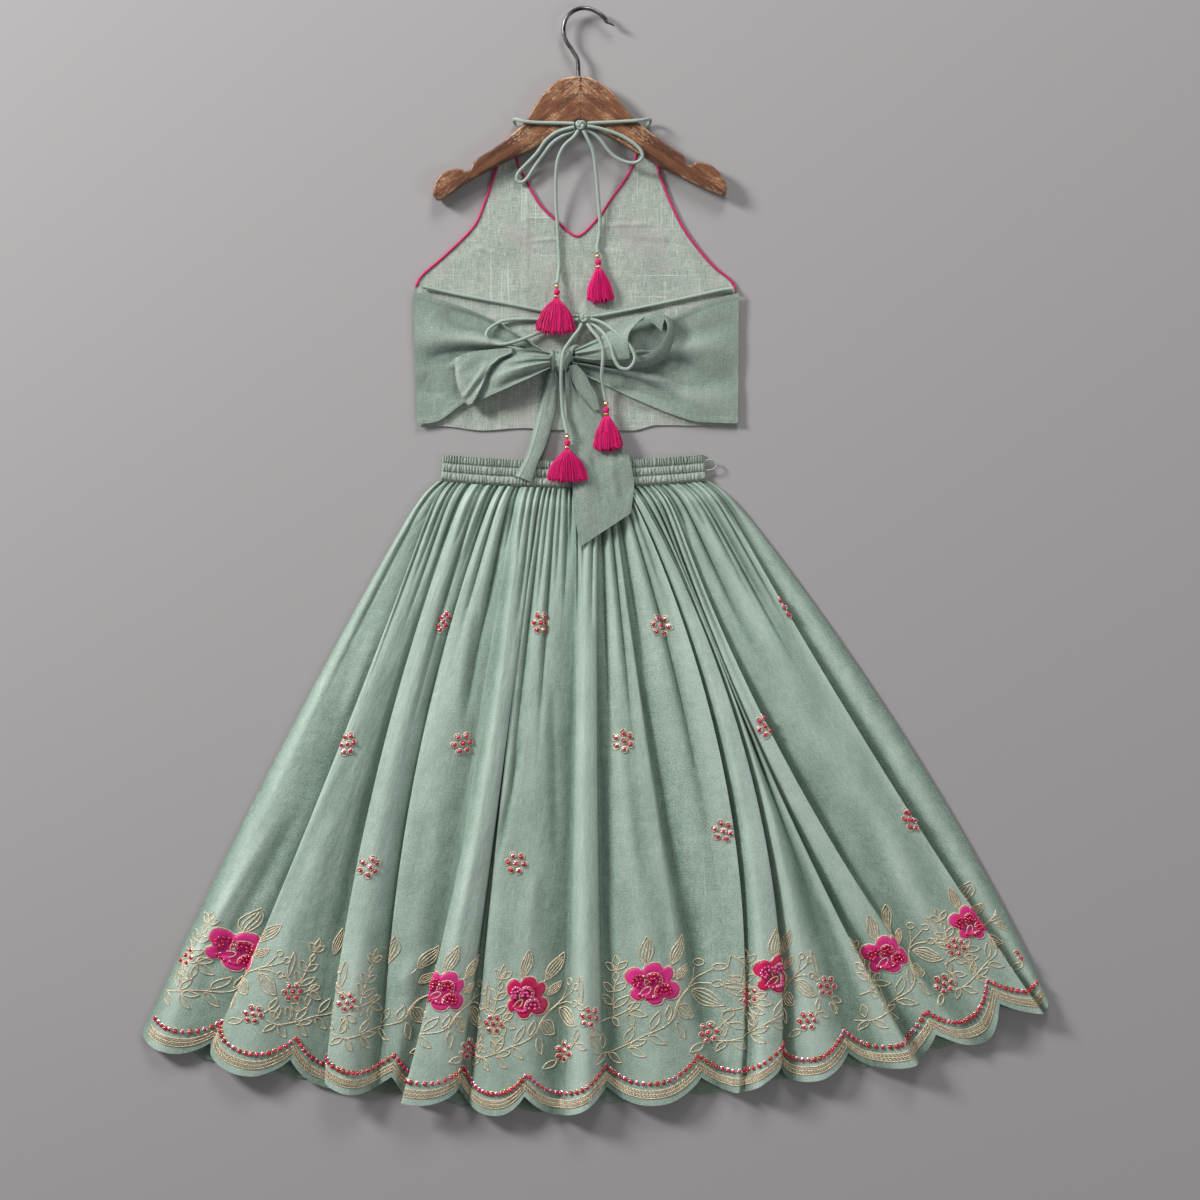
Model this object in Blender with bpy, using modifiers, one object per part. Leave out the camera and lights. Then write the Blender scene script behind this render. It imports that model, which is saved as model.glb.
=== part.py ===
# Child's lehenga choli laid flat, seen from its back, with the wooden hanger of the blouse.
#
# The floor is z = 0 and +Y points from the hem to the hanger's hook. Tables are in millimetres.
# From the floor up: front panels, hanger, back panels, sash, cords and tassels.

import math

import bmesh
import bpy
import numpy as np
from mathutils import Vector

MM = 0.001
CLOTH = 1.2
SEAM = 0.3

# Skirt: the waist, the flare and the hem.
WAIST_LEFT = -160.0
WAIST_RIGHT = 116.0
BAND_BOTTOM = 83.5
BAND_SAG = 7.0
BAND_HEIGHT = 27.0
BAND_INSET = 2.0
BAND_TAPER = 5.0
FRONT_BAND_THICK = 3.0
SKIRT_FRONT_THICK = 1.5
SCALLOP_DEPTH = 23.0
LOWER_SCALLOP_PITCH = 84.0
LOWER_SCALLOP_DEPTH = 19.0
LOWER_SCALLOP_SHIFT = 0.15
FLARE_LEFT = 0.13
FLARE_RIGHT = 0.25
SIDE_PUFF = 0.035
PUFF_REACH = 0.02
FRONT_INSET = 2.0
FRONT_COLUMNS = 85

# Gathers of the back panel: how many, how high, and how far down the skirt they reach.
FINE_GATHERS = 36
FINE_HEIGHT = 1.8
FINE_REACH = 0.16
MEDIUM_GATHERS = 18
MEDIUM_HEIGHT = 3.2
MEDIUM_PLACE = 0.25
MEDIUM_REACH = 0.3
MAIN_FOLD_FULL = 0.6
FULLNESS = 4.6
FULLNESS_RISE = 0.04
SIDE_ROUND = 0.022
COLUMNS_PER_GATHER = 4
SKIRT_LEVELS = (0.0, 0.035, 0.12, 0.26, 0.44, 0.64, 0.84, 1.0)
BAND_GATHERS = 44

# Folds of the back panel at the hem: cloth position in scallops, place and height.
HEM_FOLDS = (
    # cloth, x, lift
    (0.20, -456.0, 0.0),
    (0.60, -430.0, 7.0),
    (1.00, -393.0, 3.5),
    (1.50, -352.0, 9.0),
    (2.00, -308.0, 4.0),
    (2.43, -275.0, 1.0),
    (3.16, -270.0, 15.0),
    (3.60, -236.0, 12.0),
    (4.10, -193.0, 1.0),
    (5.40, -188.0, 16.0),
    (5.70, -162.0, 11.0),
    (6.15, -130.0, 1.0),
    (7.00, -67.0, 10.0),
    (7.40, -33.0, 2.0),
    (7.75, -8.0, 13.0),
    (8.10, 28.0, 2.5),
    (8.60, 75.0, 9.0),
    (9.20, 130.0, 2.0),
    (9.75, 170.0, 13.0),
    (10.05, 190.0, 2.0),
    (10.60, 228.0, 9.0),
    (11.20, 276.0, 2.0),
    (11.60, 316.0, 13.0),
    (12.40, 374.0, 3.0),
    (12.80, 396.0, 9.0),
    (13.20, 416.0, 3.5),
    (13.55, 440.0, 7.0),
    (13.80, 456.0, 0.0),
)

# The line through the tops of the hem's scallops.
HEM_LINE = (
    # x, y
    (-456.0, -466.0),
    (-393.0, -490.0),
    (-308.0, -507.0),
    (-190.0, -527.0),
    (-67.0, -543.0),
    (19.0, -534.0),
    (114.0, -524.0),
    (188.0, -510.0),
    (258.0, -500.0),
    (350.0, -480.0),
    (404.0, -452.0),
    (456.0, -430.0),
)

# Blouse front panel, clockwise from the left strap's hidden top.
NECK_EDGE = ((-80.0, 440.0), (-81.0, 409.0), (-71.0, 389.0), (-58.0, 366.0), (-40.0, 348.0), (-18.0, 332.0),
             (4.0, 351.0), (19.0, 372.0), (40.0, 405.0), (48.5, 442.0))
ARMHOLE_RIGHT = ((57.0, 435.5), (62.0, 406.0), (74.0, 372.0), (91.0, 338.0), (117.0, 305.0), (137.0, 288.0),
                 (143.0, 278.0))
ARMHOLE_LEFT = ((-88.0, 433.0), (-101.0, 397.0), (-111.0, 368.0), (-123.0, 342.0), (-152.0, 313.0),
                (-175.0, 293.0), (-182.0, 281.0))
BLOUSE_HEM = ((143.0, 142.0), (100.0, 140.0), (63.0, 140.5), (38.0, 135.0), (0.0, 137.0), (-35.0, 135.5),
              (-75.0, 137.5), (-115.0, 135.0), (-150.0, 139.0), (-180.0, 140.5))
PIPING_RADIUS = 1.3

# Back wings: the upper and lower edge from the side seam to the knot.
WING_LEFT_TOP = ((-186.0, 277.0), (-141.0, 263.0), (-101.0, 246.0), (-78.0, 232.0), (-50.0, 214.0))
WING_LEFT_BOTTOM = ((-182.0, 141.0), (-159.0, 145.0), (-133.0, 163.0), (-95.0, 178.0), (-50.0, 196.0))
WING_RIGHT_TOP = ((147.0, 275.0), (129.0, 271.0), (103.0, 261.0), (60.0, 241.0), (-23.0, 213.0))
WING_RIGHT_BOTTOM = ((146.0, 142.0), (117.0, 143.0), (94.0, 146.0), (47.0, 164.0), (-23.0, 197.0))
WING_FLOOR = CLOTH + SEAM
WING_RISE = 2.6
WING_CREASE = 1.5

# Sash: the knot, the two loops and the two tails.
KNOT_LOW = (-49.5, 193.5, 1.5)
KNOT_HIGH = (-23.5, 216.0, 14.0)
LEFT_LOOP_TOP = ((-50.0, 212.0), (-62.0, 215.0), (-89.0, 218.0), (-126.0, 214.0), (-140.0, 209.0))
LEFT_LOOP_BOTTOM = ((-50.0, 199.0), (-62.0, 190.0), (-85.0, 180.0), (-112.0, 169.0), (-125.0, 163.0))
LEFT_LOOP_TURN = 4.5
# Right loop, from its lower root round the tip: the outer edge, then the edge of the open mouth.
RIGHT_LOOP = (
    # outer x, outer y, mouth x, mouth y, mouth height
    (-22.9, 200.5, -22.9, 204.0, 12.0),
    (7.0, 199.5, 8.0, 213.0, 15.0),
    (35.0, 199.0, 33.0, 217.0, 17.0),
    (56.0, 201.0, 47.0, 214.0, 18.0),
    (71.0, 211.0, 61.0, 221.0, 18.0),
    (80.0, 231.0, 68.0, 235.0, 18.0),
    (79.0, 248.0, 62.0, 246.0, 18.0),
    (69.0, 256.0, 54.0, 247.0, 18.0),
    (42.0, 251.0, 41.0, 238.0, 17.0),
    (12.0, 234.5, 12.0, 222.0, 15.0),
    (-22.9, 212.0, -22.9, 208.5, 12.0),
)
RIGHT_LOOP_FLOOR = 8.6
# Sash tails, from the knot to the end: the left and right edge, and the height of the cloth.
LEFT_TAIL = (
    # left x, left y, right x, right y, height
    (-48.0, 193.0, -41.0, 193.0, 7.5),
    (-53.0, 178.0, -39.0, 176.0, 4.6),
    (-58.0, 158.0, -40.0, 156.0, 3.4),
    (-63.0, 138.0, -45.0, 135.0, 4.4),
    (-68.0, 118.0, -52.0, 115.0, 6.8),
    (-73.0, 103.0, -58.0, 103.0, 9.4),
    (-82.0, 88.0, -64.0, 82.0, 9.5),
)
RIGHT_TAIL = (
    # left x, left y, right x, right y, height
    (-31.0, 193.0, -25.0, 193.0, 7.5),
    (-30.0, 179.0, -17.0, 180.0, 4.6),
    (-29.0, 160.0, -4.0, 162.0, 3.4),
    (-28.0, 138.0, 14.0, 141.0, 4.4),
    (-27.0, 118.0, 28.0, 121.0, 6.8),
    (-25.0, 104.0, 35.0, 105.0, 9.4),
    (-23.0, 80.0, 39.0, 82.0, 10.2),
    (-20.0, 45.0, 38.0, 66.0, 12.2),
    (-15.0, 16.0, 36.0, 50.0, 12.9),
)

# Cords: radius and the routes of the bow at the neck and the bow at the back.
CORD_RADIUS = 1.8
CORD_STEP = 9.0
NECK_KNOT = (-14.5, 444.5, 20.3)
BACK_KNOT = (-10.5, 249.5, 6.8)
CORD_KNOT_RADII = (6.0, 5.2, 4.6)
CORD_ROUTES = {
    "neck_cord_left": (
        (-80.5, 445.2, 2.2), (-82.5, 449.5, 4.6), (-82.5, 451.6, 9.6), (-79.0, 450.6, 15.0),
        (-71.0, 448.2, 17.5), (-58.0, 447.2, 17.4), (-40.0, 446.8, 17.5), (-28.0, 446.4, 18.0),
        (-21.0, 446.0, 18.6)),
    "neck_cord_right": (
        (53.0, 445.4, 2.2), (56.0, 449.5, 4.6), (56.0, 451.8, 9.6), (52.0, 450.8, 15.0),
        (43.0, 449.2, 17.5), (30.0, 448.4, 17.4), (12.0, 447.4, 17.5), (0.0, 446.8, 18.0),
        (-8.0, 446.0, 18.6)),
    "neck_loop_left": (
        (-21.0, 442.0, 21.0), (-28.0, 440.6, 20.4), (-39.0, 437.0, 18.8), (-50.0, 429.0, 16.8),
        (-59.0, 417.0, 13.6), (-69.0, 407.0, 9.8), (-78.0, 398.0, 6.8), (-80.0, 391.0, 5.6),
        (-75.0, 388.0, 5.4), (-68.5, 393.0, 6.0), (-62.0, 403.0, 8.6), (-53.0, 415.0, 12.4),
        (-44.0, 426.0, 15.8), (-34.0, 433.0, 17.2), (-25.0, 436.6, 17.8), (-20.0, 439.0, 18.2)),
    "neck_loop_right": (
        (-8.0, 443.0, 21.0), (-1.0, 442.0, 20.6), (12.0, 439.0, 19.0), (26.0, 434.0, 17.8),
        (38.0, 427.0, 17.4), (46.5, 419.0, 17.3), (48.0, 411.5, 16.6), (42.0, 407.0, 15.2),
        (32.0, 407.5, 13.8), (21.0, 412.5, 13.8), (13.0, 420.0, 14.8), (7.0, 428.0, 16.4),
        (1.0, 434.0, 17.2), (-5.0, 437.5, 17.8), (-9.0, 439.0, 18.2)),
    "neck_tail_left": (
        (-17.0, 438.6, 21.6), (-21.5, 432.0, 21.4), (-31.0, 423.5, 20.2), (-37.0, 412.0, 17.8),
        (-39.5, 398.0, 14.6), (-40.0, 380.0, 10.6), (-39.5, 362.0, 7.4), (-38.5, 347.0, 5.4),
        (-37.5, 328.0, 3.6), (-36.5, 306.0, 3.5), (-37.5, 294.0, 5.2), (-38.5, 285.0, 7.4)),
    "neck_tail_right": (
        (-12.0, 438.6, 22.4), (-8.0, 431.0, 21.8), (-2.0, 418.0, 19.0), (0.5, 402.0, 15.2),
        (2.5, 384.0, 11.0), (4.0, 365.0, 7.4), (5.0, 350.0, 5.6), (4.5, 336.0, 4.0),
        (2.5, 324.0, 4.6), (2.5, 316.0, 5.9)),
    "back_cord_left": (
        (-176.0, 281.5, 5.6), (-166.0, 279.5, 4.8), (-148.0, 275.5, 3.7), (-120.0, 270.0, 3.5),
        (-90.0, 264.5, 3.5), (-60.0, 258.5, 3.5), (-35.0, 254.0, 3.8), (-17.4, 251.4, 5.0)),
    "back_cord_right": (
        (141.0, 279.5, 5.6), (131.0, 278.5, 4.8), (112.0, 274.5, 3.7), (85.0, 268.5, 3.5),
        (55.0, 262.0, 3.5), (25.0, 256.0, 3.5), (8.0, 252.8, 3.8), (-3.6, 251.2, 5.0)),
    "back_loop_left": (
        (-17.0, 247.8, 8.6), (-23.0, 247.4, 7.2), (-30.0, 247.3, 5.5), (-40.0, 247.4, 4.2),
        (-54.0, 248.0, 3.9), (-72.0, 248.6, 4.2), (-92.0, 247.0, 5.2), (-106.0, 240.0, 7.0),
        (-111.0, 231.5, 7.8), (-105.0, 224.0, 8.2), (-93.0, 222.4, 8.4), (-76.0, 227.0, 7.9),
        (-56.0, 235.0, 5.4), (-36.0, 241.0, 4.2), (-23.0, 244.0, 4.2), (-16.8, 245.8, 4.4)),
    "back_loop_right": (
        (-4.2, 248.0, 9.0), (4.0, 245.6, 10.4), (14.0, 240.0, 14.0), (25.0, 230.0, 18.4),
        (36.0, 219.0, 21.0), (40.5, 207.0, 21.6), (34.5, 197.0, 20.6), (25.0, 198.0, 19.8),
        (19.0, 208.0, 19.6), (16.0, 220.0, 18.6), (10.5, 231.0, 15.2), (3.0, 239.0, 9.6),
        (-4.0, 243.6, 6.4)),
    "back_tail_left": (
        (-13.6, 243.4, 8.8), (-17.0, 236.5, 11.8), (-24.0, 227.0, 15.4), (-32.0, 214.0, 16.6),
        (-34.0, 200.0, 16.6), (-34.5, 186.0, 13.6), (-34.0, 170.0, 9.8), (-33.0, 154.0, 9.0),
        (-30.5, 141.0, 10.8), (-28.3, 131.0, 13.2)),
    "back_tail_right": (
        (-8.0, 243.2, 10.6), (-3.0, 236.0, 14.2), (4.5, 226.0, 17.6), (8.0, 214.0, 18.4),
        (7.5, 200.0, 17.8), (7.0, 188.0, 13.8), (9.0, 176.0, 9.6), (11.0, 165.0, 8.2)),
}

# Tassels: where the cord ends, the heading and rise in degrees, the skirt's length and half width.
TASSELS = (
    # name, x, y, z, heading, rise, length, half width
    ("neck_left", -38.6, 284.6, 7.4, -92.0, 6.0, 31.0, 16.5),
    ("neck_right", 2.6, 315.6, 5.9, -86.0, 0.0, 29.0, 14.0),
    ("back_left", -28.2, 130.6, 13.3, -90.0, 2.0, 28.0, 21.0),
    ("back_right", 11.1, 164.6, 8.2, -87.0, 5.5, 30.0, 15.0),
)
GOLD_BEAD_RADIUS = 2.6
WRAPPED_BEAD_RADIUS = 3.3
RING_RADIUS = 3.2
RING_HALF_THICK = 1.0
TASSEL_HEAD_RADIUS = 4.2
TASSEL_ROOT = 3.2
TASSEL_LAYERS = 2
LOCKS_ACROSS = 8
LOCK_FILL = 0.84
TASSEL_DEPTH = 8.0

# Hanger: the upper and lower outline of the wood, its height over the floor, and the wire hook.
HANGER_FLOOR = 3.1
HANGER_THICK = 12.0
HANGER_EDGE = 1.2
HANGER_TOP = (
    (-159.0, 367.0), (-166.0, 374.0), (-163.0, 389.0), (-154.0, 398.0), (-138.0, 402.0),
    (-133.0, 398.5), (-127.0, 399.0), (-125.0, 407.0), (-119.0, 412.0), (-96.0, 426.0),
    (-72.0, 447.0), (-58.0, 471.0), (-44.0, 487.0), (-31.0, 494.0), (-16.0, 495.5),
    (-4.0, 494.0), (12.0, 485.0), (26.0, 469.0), (39.0, 452.0), (54.0, 440.0),
    (72.0, 426.0), (91.0, 415.0), (93.0, 405.5), (99.0, 404.0), (103.0, 409.0),
    (117.0, 406.0), (129.0, 396.0), (135.0, 382.0), (133.0, 374.0), (126.0, 374.0))
HANGER_BOTTOM = (
    (94.0, 389.0), (54.0, 410.0), (21.0, 431.0), (3.0, 440.0), (-12.0, 448.5),
    (-16.0, 450.0), (-20.0, 448.5), (-35.0, 440.0), (-58.0, 424.0), (-94.0, 407.0),
    (-134.0, 386.0))
HOOK_RADIUS = 2.1
HOOK_ROUTE = (
    (-16.5, 495.8), (-17.0, 504.0), (-18.0, 513.0), (-23.0, 522.0), (-29.0, 531.0),
    (-32.0, 541.0), (-30.5, 552.0), (-25.0, 560.0), (-16.0, 564.6), (-6.0, 564.6),
    (4.0, 560.0), (11.0, 553.0), (20.0, 548.6))
LOOP_ROUTE = ((112.6, 104.0), (118.0, 105.0), (123.0, 102.5), (124.0, 98.5), (120.0, 95.0), (113.5, 94.0))
LOOP_RADIUS = 0.8
LOOP_HEIGHT = 5.4

COLOURS = {
    # finish: colour, roughness, metallic
    "sage_cloth": ((0.262, 0.378, 0.296, 1.0), 0.82, 0.0),
    "sage_lining": ((0.376, 0.462, 0.392, 1.0), 0.86, 0.0),
    "sage_cord": ((0.330, 0.445, 0.372, 1.0), 0.70, 0.0),
    "crimson_piping": ((0.610, 0.010, 0.115, 1.0), 0.55, 0.0),
    "pink_thread": ((0.745, 0.008, 0.156, 1.0), 0.60, 0.0),
    "gold": ((0.720, 0.490, 0.180, 1.0), 0.28, 1.0),
    "brown_wood": ((0.130, 0.038, 0.013, 1.0), 0.50, 0.0),
    "dark_steel": ((0.035, 0.035, 0.038, 1.0), 0.35, 1.0),
}


def smooth_curve(points, count):
    """Even steps along a Catmull-Rom curve through the points, its ends carried straight on."""
    route = np.asarray(points, dtype=float)
    route = np.vstack((2.0 * route[0] - route[1], route, 2.0 * route[-1] - route[-2]))
    share = np.linspace(0.0, 1.0, 12, endpoint=False)[:, None]
    runs = []
    for before, start, end, after in zip(route, route[1:], route[2:], route[3:]):
        run = 0.5 * (2.0 * start + (end - before) * share
                     + (2.0 * before - 5.0 * start + 4.0 * end - after) * share ** 2
                     + (3.0 * start - before - 3.0 * end + after) * share ** 3)
        runs.append(run)
    line = np.vstack(runs + [route[-2:-1]])
    travelled = np.concatenate(([0.0], np.cumsum(np.linalg.norm(np.diff(line, axis=0), axis=1))))
    stops = np.linspace(0.0, travelled[-1], count)
    return np.stack([np.interp(stops, travelled, axis) for axis in line.T], axis=1)


def curve_length(points):
    """Length of the smooth curve through the points."""
    return float(np.linalg.norm(np.diff(smooth_curve(points, 200), axis=0), axis=1).sum())


def monotone(stations, values, wanted):
    """Cubic interpolation that never overshoots: slopes are zero at a crest and harmonic elsewhere."""
    stations, values = np.asarray(stations), np.asarray(values)
    widths = np.diff(stations)
    slopes = np.diff(values) / widths
    tangents = np.zeros_like(values)
    same_way = slopes[1:] * slopes[:-1] > 0.0
    steep = np.where(same_way, slopes[1:] + slopes[:-1], 1.0)
    tangents[1:-1] = np.where(same_way, 2.0 * slopes[1:] * slopes[:-1] / steep, 0.0)
    tangents[0], tangents[-1] = slopes[0], slopes[-1]
    cell = np.clip(np.searchsorted(stations, wanted) - 1, 0, len(widths) - 1)
    width = widths[cell]
    t = (wanted - stations[cell]) / width
    start, end = values[cell], values[cell + 1]
    leave, arrive = tangents[cell] * width, tangents[cell + 1] * width
    return ((2 * t ** 3 - 3 * t ** 2 + 1) * start + (t ** 3 - 2 * t ** 2 + t) * leave
            + (3 * t ** 2 - 2 * t ** 3) * end + (t ** 3 - t ** 2) * arrive)


def ease(value, low, high):
    """Smooth step from 0 at low to 1 at high."""
    share = np.clip((value - low) / (high - low), 0.0, 1.0)
    return share * share * (3.0 - 2.0 * share)


def material(finish, name):
    """Principled material of one finish for one object."""
    colour, roughness, metallic = COLOURS[finish]
    made = bpy.data.materials.new(name)
    made.use_nodes = True
    shader = made.node_tree.nodes["Principled BSDF"]
    shader.inputs["Base Color"].default_value = colour
    shader.inputs["Roughness"].default_value = roughness
    shader.inputs["Metallic"].default_value = metallic
    return made


def add_object(name, data, finish):
    """Put new data into the garment's collection under its node's name."""
    made = bpy.data.objects.new(name, data)
    data.materials.append(material(finish, name))
    bpy.data.collections["lehenga_choli"].objects.link(made)
    return made


def grid_faces(rows, columns, offset, flip):
    """Quads of a grid of rows by columns whose first vertex is offset."""
    corner = np.arange((rows - 1) * columns).reshape(rows - 1, columns)[:, :-1].ravel() + offset
    quads = np.stack((corner, corner + 1, corner + columns + 1, corner + columns), axis=1)
    return quads[:, ::-1] if flip else quads


def wall(name, outer, inner, finish):
    """Closed cloth wall between two grids of points in millimetres, rows by columns by 3."""
    rows, columns = outer.shape[:2]
    size = rows * columns
    index = np.arange(size).reshape(rows, columns)
    rim = np.concatenate((index[0, :-1], index[:-1, -1], index[-1, :0:-1], index[:0:-1, 0]))
    after = np.roll(rim, -1)
    sides = np.stack((after, rim, rim + size, after + size), axis=1)
    faces = np.vstack((grid_faces(rows, columns, 0, False), grid_faces(rows, columns, size, True), sides))
    mesh = bpy.data.meshes.new(name)
    points = np.concatenate((outer.reshape(-1, 3), inner.reshape(-1, 3))) * MM
    mesh.from_pydata(points.tolist(), [], faces.tolist())
    shell = bmesh.new()
    shell.from_mesh(mesh)
    bmesh.ops.recalc_face_normals(shell, faces=shell.faces)
    shell.to_mesh(mesh)
    shell.free()
    mesh.shade_smooth()
    return add_object(name, mesh, finish)


def upright_thickness(grid, thickness):
    """Upright measure of a wall over a grid of points: more than its thickness where the wall is steep."""
    run = np.maximum(np.abs(np.gradient(grid[..., 0], axis=1)), 0.6)
    slope = np.gradient(grid[..., 2], axis=1) / run
    return thickness * np.minimum(np.sqrt(1.0 + slope ** 2), 2.2)


def plain_backed(name, outer, floor, finish):
    """Closed piece with a grid of raised outer points over a plain inside at one height."""
    rows, columns = outer.shape[:2]
    base = outer[[0, -1]].copy()
    base[..., 2] = floor
    size = rows * columns
    step = np.arange(columns - 1)
    last = (rows - 1) * columns
    front = np.stack((step + size, step + size + 1, step + 1, step), axis=1)
    back = np.stack((step + last, step + last + 1, step + size + columns + 1, step + size + columns), axis=1)
    under = np.stack((step + size, step + size + columns, step + size + columns + 1, step + size + 1), axis=1)
    start_end = [row * columns for row in range(rows)] + [size + columns, size]
    far_end = [row * columns + columns - 1 for row in reversed(range(rows))] + [size + columns - 1,
                                                                                size + 2 * columns - 1]
    faces = np.vstack((grid_faces(rows, columns, 0, False), front, back, under)).tolist()
    mesh = bpy.data.meshes.new(name)
    points = np.concatenate((outer.reshape(-1, 3), base.reshape(-1, 3))) * MM
    mesh.from_pydata(points.tolist(), [], faces + [start_end, far_end])
    shell = bmesh.new()
    shell.from_mesh(mesh)
    bmesh.ops.recalc_face_normals(shell, faces=shell.faces)
    shell.to_mesh(mesh)
    shell.free()
    return add_object(name, mesh, finish)


def thick_surface(name, grid, thickness, finish):
    """Open surface through a grid of points with a Solidify wall, for cloth that turns over itself."""
    rows, columns = grid.shape[:2]
    mesh = bpy.data.meshes.new(name)
    mesh.from_pydata((grid.reshape(-1, 3) * MM).tolist(), [], grid_faces(rows, columns, 0, False).tolist())
    mesh.shade_smooth()
    made = add_object(name, mesh, finish)
    solid = made.modifiers.new("wall", "SOLIDIFY")
    solid.thickness = thickness * MM
    solid.offset = 0.0
    return made


def tube(name, points, radius, finish, resolution=2):
    """Round cord or wire with filled caps along points in millimetres."""
    curve = bpy.data.curves.new(name, "CURVE")
    curve.dimensions = "3D"
    curve.bevel_depth = radius * MM
    curve.bevel_resolution = resolution
    curve.use_fill_caps = True
    spline = curve.splines.new("POLY")
    spline.points.add(len(points) - 1)
    for stop, place in zip(spline.points, points):
        stop.co = (*(np.asarray(place) * MM), 1.0)
    return add_object(name, curve, finish)


def plate(name, outline, low, high, finish):
    """Flat piece with its outline in plan, between two heights."""
    curve = bpy.data.curves.new(name, "CURVE")
    curve.dimensions = "2D"
    curve.fill_mode = "BOTH"
    curve.extrude = 0.5 * (high - low) * MM
    spline = curve.splines.new("POLY")
    spline.points.add(len(outline) - 1)
    for stop, place in zip(spline.points, outline):
        stop.co = (place[0] * MM, place[1] * MM, 0.0, 1.0)
    spline.use_cyclic_u = True
    made = add_object(name, curve, finish)
    made.location.z = 0.5 * (low + high) * MM
    return made


def ball(name, centre, radii, finish, segments=8, rings=5):
    """Bead or knot: a sphere stretched to three radii."""
    mesh = bpy.data.meshes.new(name)
    shape = bmesh.new()
    bmesh.ops.create_uvsphere(shape, u_segments=segments, v_segments=rings, radius=1.0)
    bmesh.ops.scale(shape, vec=Vector(radii) * MM, verts=shape.verts)
    shape.to_mesh(mesh)
    shape.free()
    mesh.shade_smooth()
    made = add_object(name, mesh, finish)
    made.location = Vector(centre) * MM
    return made


def waist_line(x):
    """Lower edge of the waistband: a shallow sag between its two ends."""
    middle = 0.5 * (WAIST_LEFT + WAIST_RIGHT)
    half = 0.5 * (WAIST_RIGHT - WAIST_LEFT)
    return BAND_BOTTOM - BAND_SAG * (1.0 - ((x - middle) / half) ** 2)


def scallop(cloth):
    """Depth of the hem's round scallops, 0 at each point between two and 1 at the lowest."""
    return 1.0 - np.abs(2.0 * (cloth % 1.0) - 1.0) ** 2.2


def flared(start, end, across, down, puff):
    """Place between the waist and the hem: nearly straight, a little fuller near the waist."""
    flare = FLARE_LEFT + (FLARE_RIGHT - FLARE_LEFT) * across
    quick = puff * (1.0 - np.exp(-down / PUFF_REACH))
    return start + (end - start) * (down + (flare * down + quick) * (1.0 - down))


def back_place(across, down):
    """Plan of the back panel: across runs 0 to 1 over the cloth, down runs 0 at the waist to 1 at the hem."""
    cloth, hem_x, _ = np.array(HEM_FOLDS).T
    line_x, line_y = np.array(HEM_LINE).T
    position = cloth[0] + across * (cloth[-1] - cloth[0])
    end_x = monotone(cloth, hem_x, position)
    end_y = monotone(line_x, line_y, end_x) - SCALLOP_DEPTH * scallop(position)
    start_x = WAIST_LEFT + across * (WAIST_RIGHT - WAIST_LEFT)
    start_y = waist_line(start_x) - SEAM
    return flared(start_x, end_x, across, down, SIDE_PUFF), start_y + (end_y - start_y) * down


def front_place(across, down):
    """Plan of the front panel: just inside the back panel's sides, its scallops half a step over."""
    line_x, line_y = np.array(HEM_LINE).T
    end_x = line_x[0] + FRONT_INSET + across * (line_x[-1] - line_x[0] - 2.0 * FRONT_INSET)
    hang = scallop(end_x / LOWER_SCALLOP_PITCH + LOWER_SCALLOP_SHIFT)
    end_y = monotone(line_x, line_y, end_x) - LOWER_SCALLOP_DEPTH * hang
    start_x = WAIST_LEFT + FRONT_INSET + across * (WAIST_RIGHT - WAIST_LEFT - 2.0 * FRONT_INSET)
    start_y = waist_line(start_x) - SEAM
    return flared(start_x, end_x, across, down, 0.0), start_y + (end_y - start_y) * down


def back_lift(across, down):
    """Height of the back panel over its lowest place: fullness, main folds, merged and fine gathers."""
    cloth, _, lift = np.array(HEM_FOLDS).T
    position = cloth[0] + across * (cloth[-1] - cloth[0])
    main = monotone(cloth, lift, position) * ease(down, 0.0, MAIN_FOLD_FULL)
    drift = 0.012 * np.sin(21.0 * across + 1.0) + 0.006 * np.sin(47.0 * across)
    merged_wave = 1.0 - np.cos(math.tau * MEDIUM_GATHERS * (across + drift))
    merged = 0.5 * MEDIUM_HEIGHT * np.exp(-((down - MEDIUM_PLACE) / MEDIUM_REACH) ** 2) * merged_wave
    fine_wave = 1.0 - np.cos(math.tau * FINE_GATHERS * across)
    fine = 0.5 * FINE_HEIGHT * np.exp(-down / FINE_REACH) * fine_wave
    full = FULLNESS * (1.0 - np.exp(-down / FULLNESS_RISE)) * np.exp(-down / MAIN_FOLD_FULL)
    side = ease(across, 0.0, SIDE_ROUND) * ease(1.0 - across, 0.0, SIDE_ROUND)
    return (main + merged + fine + full) * side


def flat_panel(name, x, y, thickness, finish):
    """Flat layer on the floor over a grid of places in plan."""
    top = np.stack((x, y, np.full_like(x, thickness)), axis=2)
    floor = top * (1.0, 1.0, 0.0)
    wall(name, top, floor, finish)


def build_skirt():
    """Back panel with its folds over the flat front panel."""
    columns = FINE_GATHERS * COLUMNS_PER_GATHER + 1
    across, down = np.meshgrid(np.linspace(0.0, 1.0, columns), SKIRT_LEVELS)
    x, y = back_place(across, down)
    inner = np.stack((x, y, SKIRT_FRONT_THICK + SEAM + back_lift(across, down)), axis=2)
    outer = inner.copy()
    outer[..., 2] += upright_thickness(inner, CLOTH)
    wall("skirt_back", outer, inner, "sage_cloth")

    across, down = np.meshgrid(np.linspace(0.0, 1.0, FRONT_COLUMNS), (0.0, 0.5, 1.0))
    flat_panel("skirt_front", *front_place(across, down), SKIRT_FRONT_THICK, "sage_cloth")


def band_place(across, level):
    """Plan of the waistband: level runs 0 at its lower edge to 1 at its slightly shorter upper edge."""
    x = WAIST_LEFT + BAND_INSET + across * (WAIST_RIGHT - WAIST_LEFT - 2.0 * BAND_INSET)
    x = x + (0.5 - across) * BAND_TAPER * level
    return x, waist_line(x) + BAND_HEIGHT * level


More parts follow.
